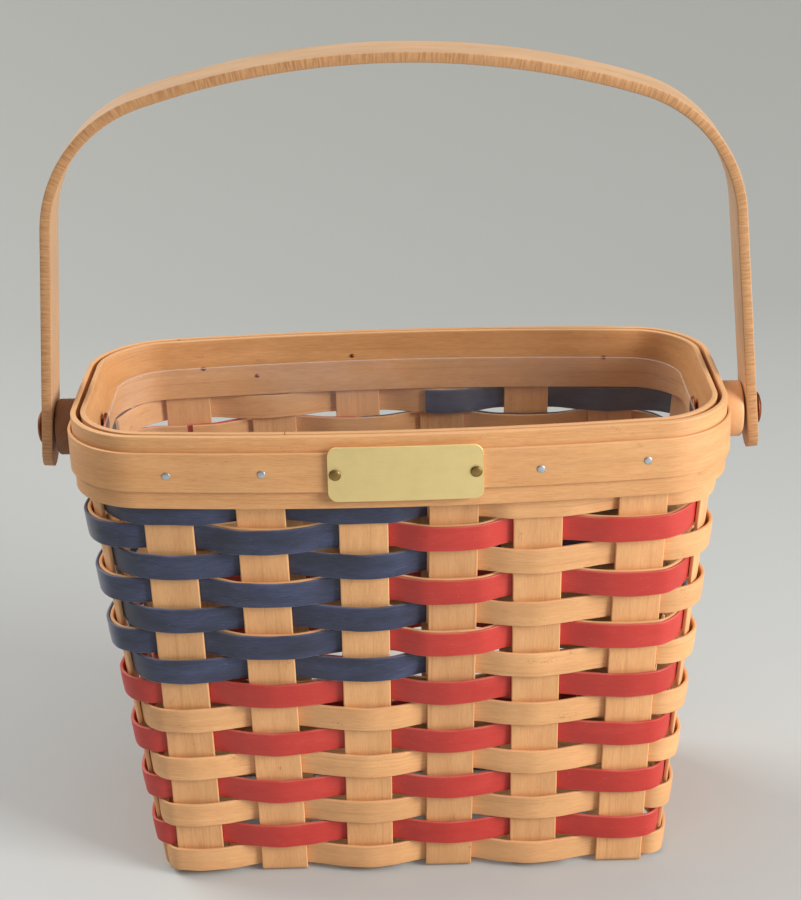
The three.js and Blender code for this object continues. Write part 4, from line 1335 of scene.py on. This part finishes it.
class BASKET_OT_rivets(bpy.types.Operator):
    """Sets the copper rivets and the wooden spacers on which the handle swings"""

    bl_idname = "basket.rivets"
    bl_label = "Set the Rivets"

    def execute(self, context):
        hang = Hang(context.scene)
        h = hang.size
        colours = context.scene.basket_colours
        copper = dulled_copper(colours)
        # The left spacer takes painted shade, darker than the right spacer's band wood.
        woods = {"left": left_spacer_painted_shade(colours), "right": bent_band(colours)}
        for way, place in ((-1, "left"), (1, "right")):
            pivot, axis = (0, 0, h.pivot_height), (way, 0, 0)
            low, high, r = hang.spacer_in, hang.spacer_out, h.spacer_radius
            profile = [(low, 0), (low, r * 0.5)]
            profile += [(low + rise, r - cut) for rise, cut in SPACER_EDGE]
            profile += [(high - rise, r - cut) for rise, cut in reversed(SPACER_EDGE)]
            profile += [(high, r * 0.5), (high, 0)]
            piece = add_turned(
                f"spacer_{place}_turned", profile, pivot, axis, woods[place], 64, 60.0 + way
            )
            finish_piece(piece, "basket", "rim_wood", "spacer_" + place)
            inner, outer = hang.inner_head, hang.outer_head
            profile = head_profile(inner, -h.inner_head_thick, h.inner_head, RIVET_INNER)
            profile += [(inner, h.rivet_shaft), (outer, h.rivet_shaft)]
            profile += head_profile(outer, h.rivet_head_thick, h.rivet_head, RIVET_OUTER)
            piece = add_turned(f"rivet_{place}_copper", profile, pivot, axis, copper, 48, 63)
            finish_piece(piece, "basket", "copper_rivet", "rivet_" + place)
        return {"FINISHED"}


class BASKET_OT_liner(bpy.types.Operator):
    """Stands the clear moulded liner in the basket"""

    bl_idname = "basket.liner"
    bl_label = "Drop in the Liner"

    def ring(self, wall, z, inset):
        """One closed ring of the liner at height z, inset from the middle of the wall."""
        s = self.size
        t = z / wall.size.rim_height
        length, depth, _, _, _, bow = wall.outline(z)
        length, depth = length - inset, depth - inset
        corner = mix(s.base_corner, s.rim_corner, t) - (inset - s.inset)
        flat = length - corner
        quarter = flat + corner * math.pi / 2 + depth - corner
        arc = corner * math.pi / 2
        stops = np.concatenate(
            [
                np.linspace(0, flat, 15),
                np.linspace(flat, flat + arc, 12)[1:],
                np.linspace(flat + arc, quarter, 8)[1:],
            ]
        )
        x, y = quarter_point(stops, (length, depth, corner, flat, quarter, bow))
        half_x = np.concatenate([x, x[::-1][1:]])
        half_y = np.concatenate([y, -y[::-1][1:]])
        px = np.concatenate([half_x[:-1], -half_x[:-1]])
        py = np.concatenate([half_y[:-1], -half_y[:-1]])
        return np.stack([px, py, np.full_like(px, z)], -1)

    def execute(self, context):
        wall = Wall(context.scene)
        s = self.size = context.scene.basket_liner
        levels = []
        for turn in np.linspace(0, math.pi / 2, 7):
            inset = s.inset + s.foot * (1 - math.sin(turn))
            levels.append((s.bottom + s.foot * (1 - math.cos(turn)), inset, 0.0))
        for z in np.linspace(s.bottom + s.foot, s.top - LIP_START, 30)[1:]:
            levels.append((z, s.inset, 0.0))
        levels.append((s.top - LIP_EASE, s.inset + LIP_EASE, 0.6))
        levels.append((s.top, s.inset + s.wall * 0.35, 1.0))
        levels.append((s.top, s.inset + s.wall * 0.65, 1.0))
        levels.append((s.top - LIP_EASE, s.inset + s.wall - LIP_EASE, 0.6))
        for z in np.linspace(s.top - LIP_START, s.bottom + s.foot + s.wall / 2, 30):
            levels.append((z, s.inset + s.wall, 0.0))
        for turn in np.linspace(math.pi / 2, 0, 7)[1:]:
            inset = s.inset + s.wall + s.foot * (1 - math.sin(turn))
            rise = s.wall + (s.foot - s.wall / 2) * (1 - math.cos(turn))
            levels.append((s.bottom + rise, inset, 0.0))
        rings = np.array([self.ring(wall, z, inset) for z, inset, _ in levels])
        count, sides = rings.shape[:2]
        points = np.concatenate(
            [rings.reshape(-1, 3), [[0, 0, s.bottom]], [[0, 0, s.bottom + s.wall]]]
        )
        faces = [ring_faces(count, sides), *pole_faces(count, sides)]
        strip = np.zeros((len(points), 3))
        strip[:, 0] = np.arctan2(points[:, 1], points[:, 0]) * 0.08
        strip[:, 1] = points[:, 2]
        strip[:, 2] = 0.5
        edge = np.concatenate([np.repeat([e for _, _, e in levels], sides), [0, 0]])
        piece = add_mesh("liner_clear_sheet", points, faces, strip, edge, clear_sheet())
        finish_piece(piece, "liner", "liner_clear", "liner")
        return {"FINISHED"}


def studio_surface(name, body, far):
    """Seamless paper: matt and plain, with painted shade making it a little darker towards the
    back.
    """
    material, tree, shader = new_material(name)
    if not tree:
        return material
    spot = add(tree, "ShaderNodeNewGeometry").outputs["Position"]
    parts = add(tree, "ShaderNodeSeparateXYZ", {0: spot})
    noise = add(tree, "ShaderNodeTexNoise", {"Vector": spot, "Scale": 1.5, "Detail": 2.0})
    # Painted shade: the paper darkens from the floor's colour to the far colour towards the back.
    back = spread(tree, parts.outputs[1], -0.1, 0.9)
    painted_falloff = blend_colours(tree, back, body, far)
    tone = spread(tree, noise.outputs["Fac"], 0.3, 0.7, 0.99, 1.01)
    fill(tree, shader, {"Base Color": scale_colour(tree, painted_falloff, tone), "Roughness": 0.9})
    fill(tree, shader, {"Specular IOR Level": 0.2})
    return material


class BASKET_OT_studio(bpy.types.Operator):
    """Sets up the floor, the sweep behind, the lights and the camera"""

    bl_idname = "basket.studio"
    bl_label = "Set the Studio"

    def execute(self, context):
        scene = context.scene
        colours = scene.basket_colours
        reach, bend, radius = SWEEP_REACH, SWEEP_BEND, SWEEP_RADIUS
        profile = [(-reach, 0.0), (bend, 0.0)]
        for turn in np.linspace(0, math.pi / 2, 16)[1:]:
            profile.append((bend + radius * math.sin(turn), radius * (1 - math.cos(turn))))
        profile.append((bend + radius, reach))
        points = [(x, y, z) for y, z in profile for x in (-reach, reach)]
        faces = [(2 * k, 2 * k + 1, 2 * k + 3, 2 * k + 2) for k in range(len(profile) - 1)]
        mesh = bpy.data.meshes.new("studio_sweep")
        mesh.from_pydata(points, [], faces)
        mesh.shade_smooth()
        mesh.materials.append(studio_surface("seamless_paper", colours.floor, colours.backdrop))
        sweep = bpy.data.objects.new("studio_sweep", mesh)
        scene.collection.objects.link(sweep)

        for name, (place, size, power) in LAMPS.items():
            lamp = bpy.data.lights.new(name, "AREA")
            lamp.size = size
            lamp.energy = power
            holder = bpy.data.objects.new(name, lamp)
            holder.location = place
            aim = Vector(LAMP_TARGET) - Vector(place)
            holder.rotation_euler = aim.to_track_quat("-Z", "Y").to_euler()
            scene.collection.objects.link(holder)

        world = bpy.data.worlds.new("studio_room")
        world.use_nodes = True
        world.node_tree.nodes.clear()
        inputs = {"Color": linear(ROOM_COLOUR), "Strength": ROOM_STRENGTH}
        light = add(world.node_tree, "ShaderNodeBackground", inputs)
        add(world.node_tree, "ShaderNodeOutputWorld", {"Surface": light.outputs[0]})
        scene.world = world

        yaw, pitch, roll = (math.radians(degrees) for degrees in (YAW, PITCH, ROLL))
        ahead = Vector(
            (math.sin(yaw) * math.cos(pitch), math.cos(yaw) * math.cos(pitch), -math.sin(pitch))
        )
        level = Vector((math.cos(yaw), -math.sin(yaw), 0))
        lift = level.cross(ahead)
        right = math.cos(roll) * level + math.sin(roll) * lift
        up = -math.sin(roll) * level + math.cos(roll) * lift
        camera = bpy.data.cameras.new("studio_camera")
        camera.sensor_width = SENSOR
        camera.lens = FOCAL_PIXELS * SENSOR / PICTURE_PIXELS
        camera.clip_start = 0.01
        holder = bpy.data.objects.new("studio_camera", camera)
        turned = Matrix((right, up, -ahead)).transposed().to_4x4()
        holder.matrix_world = Matrix.Translation(CAMERA_PLACE) @ turned
        scene.collection.objects.link(holder)
        scene.camera = holder
        scene.view_settings.view_transform = "Standard"
        return {"FINISHED"}


OPERATORS = (
    BASKET_OT_stakes,
    BASKET_OT_weavers,
    BASKET_OT_rim,
    BASKET_OT_nails,
    BASKET_OT_plate,
    BASKET_OT_handle,
    BASKET_OT_rivets,
    BASKET_OT_liner,
    BASKET_OT_studio,
)


class BASKET_PT_sidebar(bpy.types.Panel):
    """Sizes, colours and the making of the basket"""

    bl_idname = "BASKET_PT_sidebar"
    bl_label = "Splint Basket"
    bl_space_type = "VIEW_3D"
    bl_region_type = "UI"
    bl_category = "Basket"

    def draw(self, context):
        for name, group in GROUPS.items():
            box = self.layout.box()
            box.label(text=group.bl_rna.name)
            for key in group.__annotations__:
                box.prop(getattr(context.scene, name), key)
        for operator in OPERATORS:
            self.layout.operator(operator.bl_idname)


CLASSES = (*GROUPS.values(), *OPERATORS, BASKET_PT_sidebar)


def register():
    for cls in CLASSES:
        bpy.utils.register_class(cls)
    for name, group in GROUPS.items():
        setattr(bpy.types.Scene, name, PointerProperty(type=group))


def unregister():
    for name in GROUPS:
        delattr(bpy.types.Scene, name)
    for cls in reversed(CLASSES):
        bpy.utils.unregister_class(cls)


def main():
    register()
    for operator in OPERATORS:
        group, name = operator.bl_idname.split(".")
        getattr(getattr(bpy.ops, group), name)()


if __name__ == "__main__":
    main()
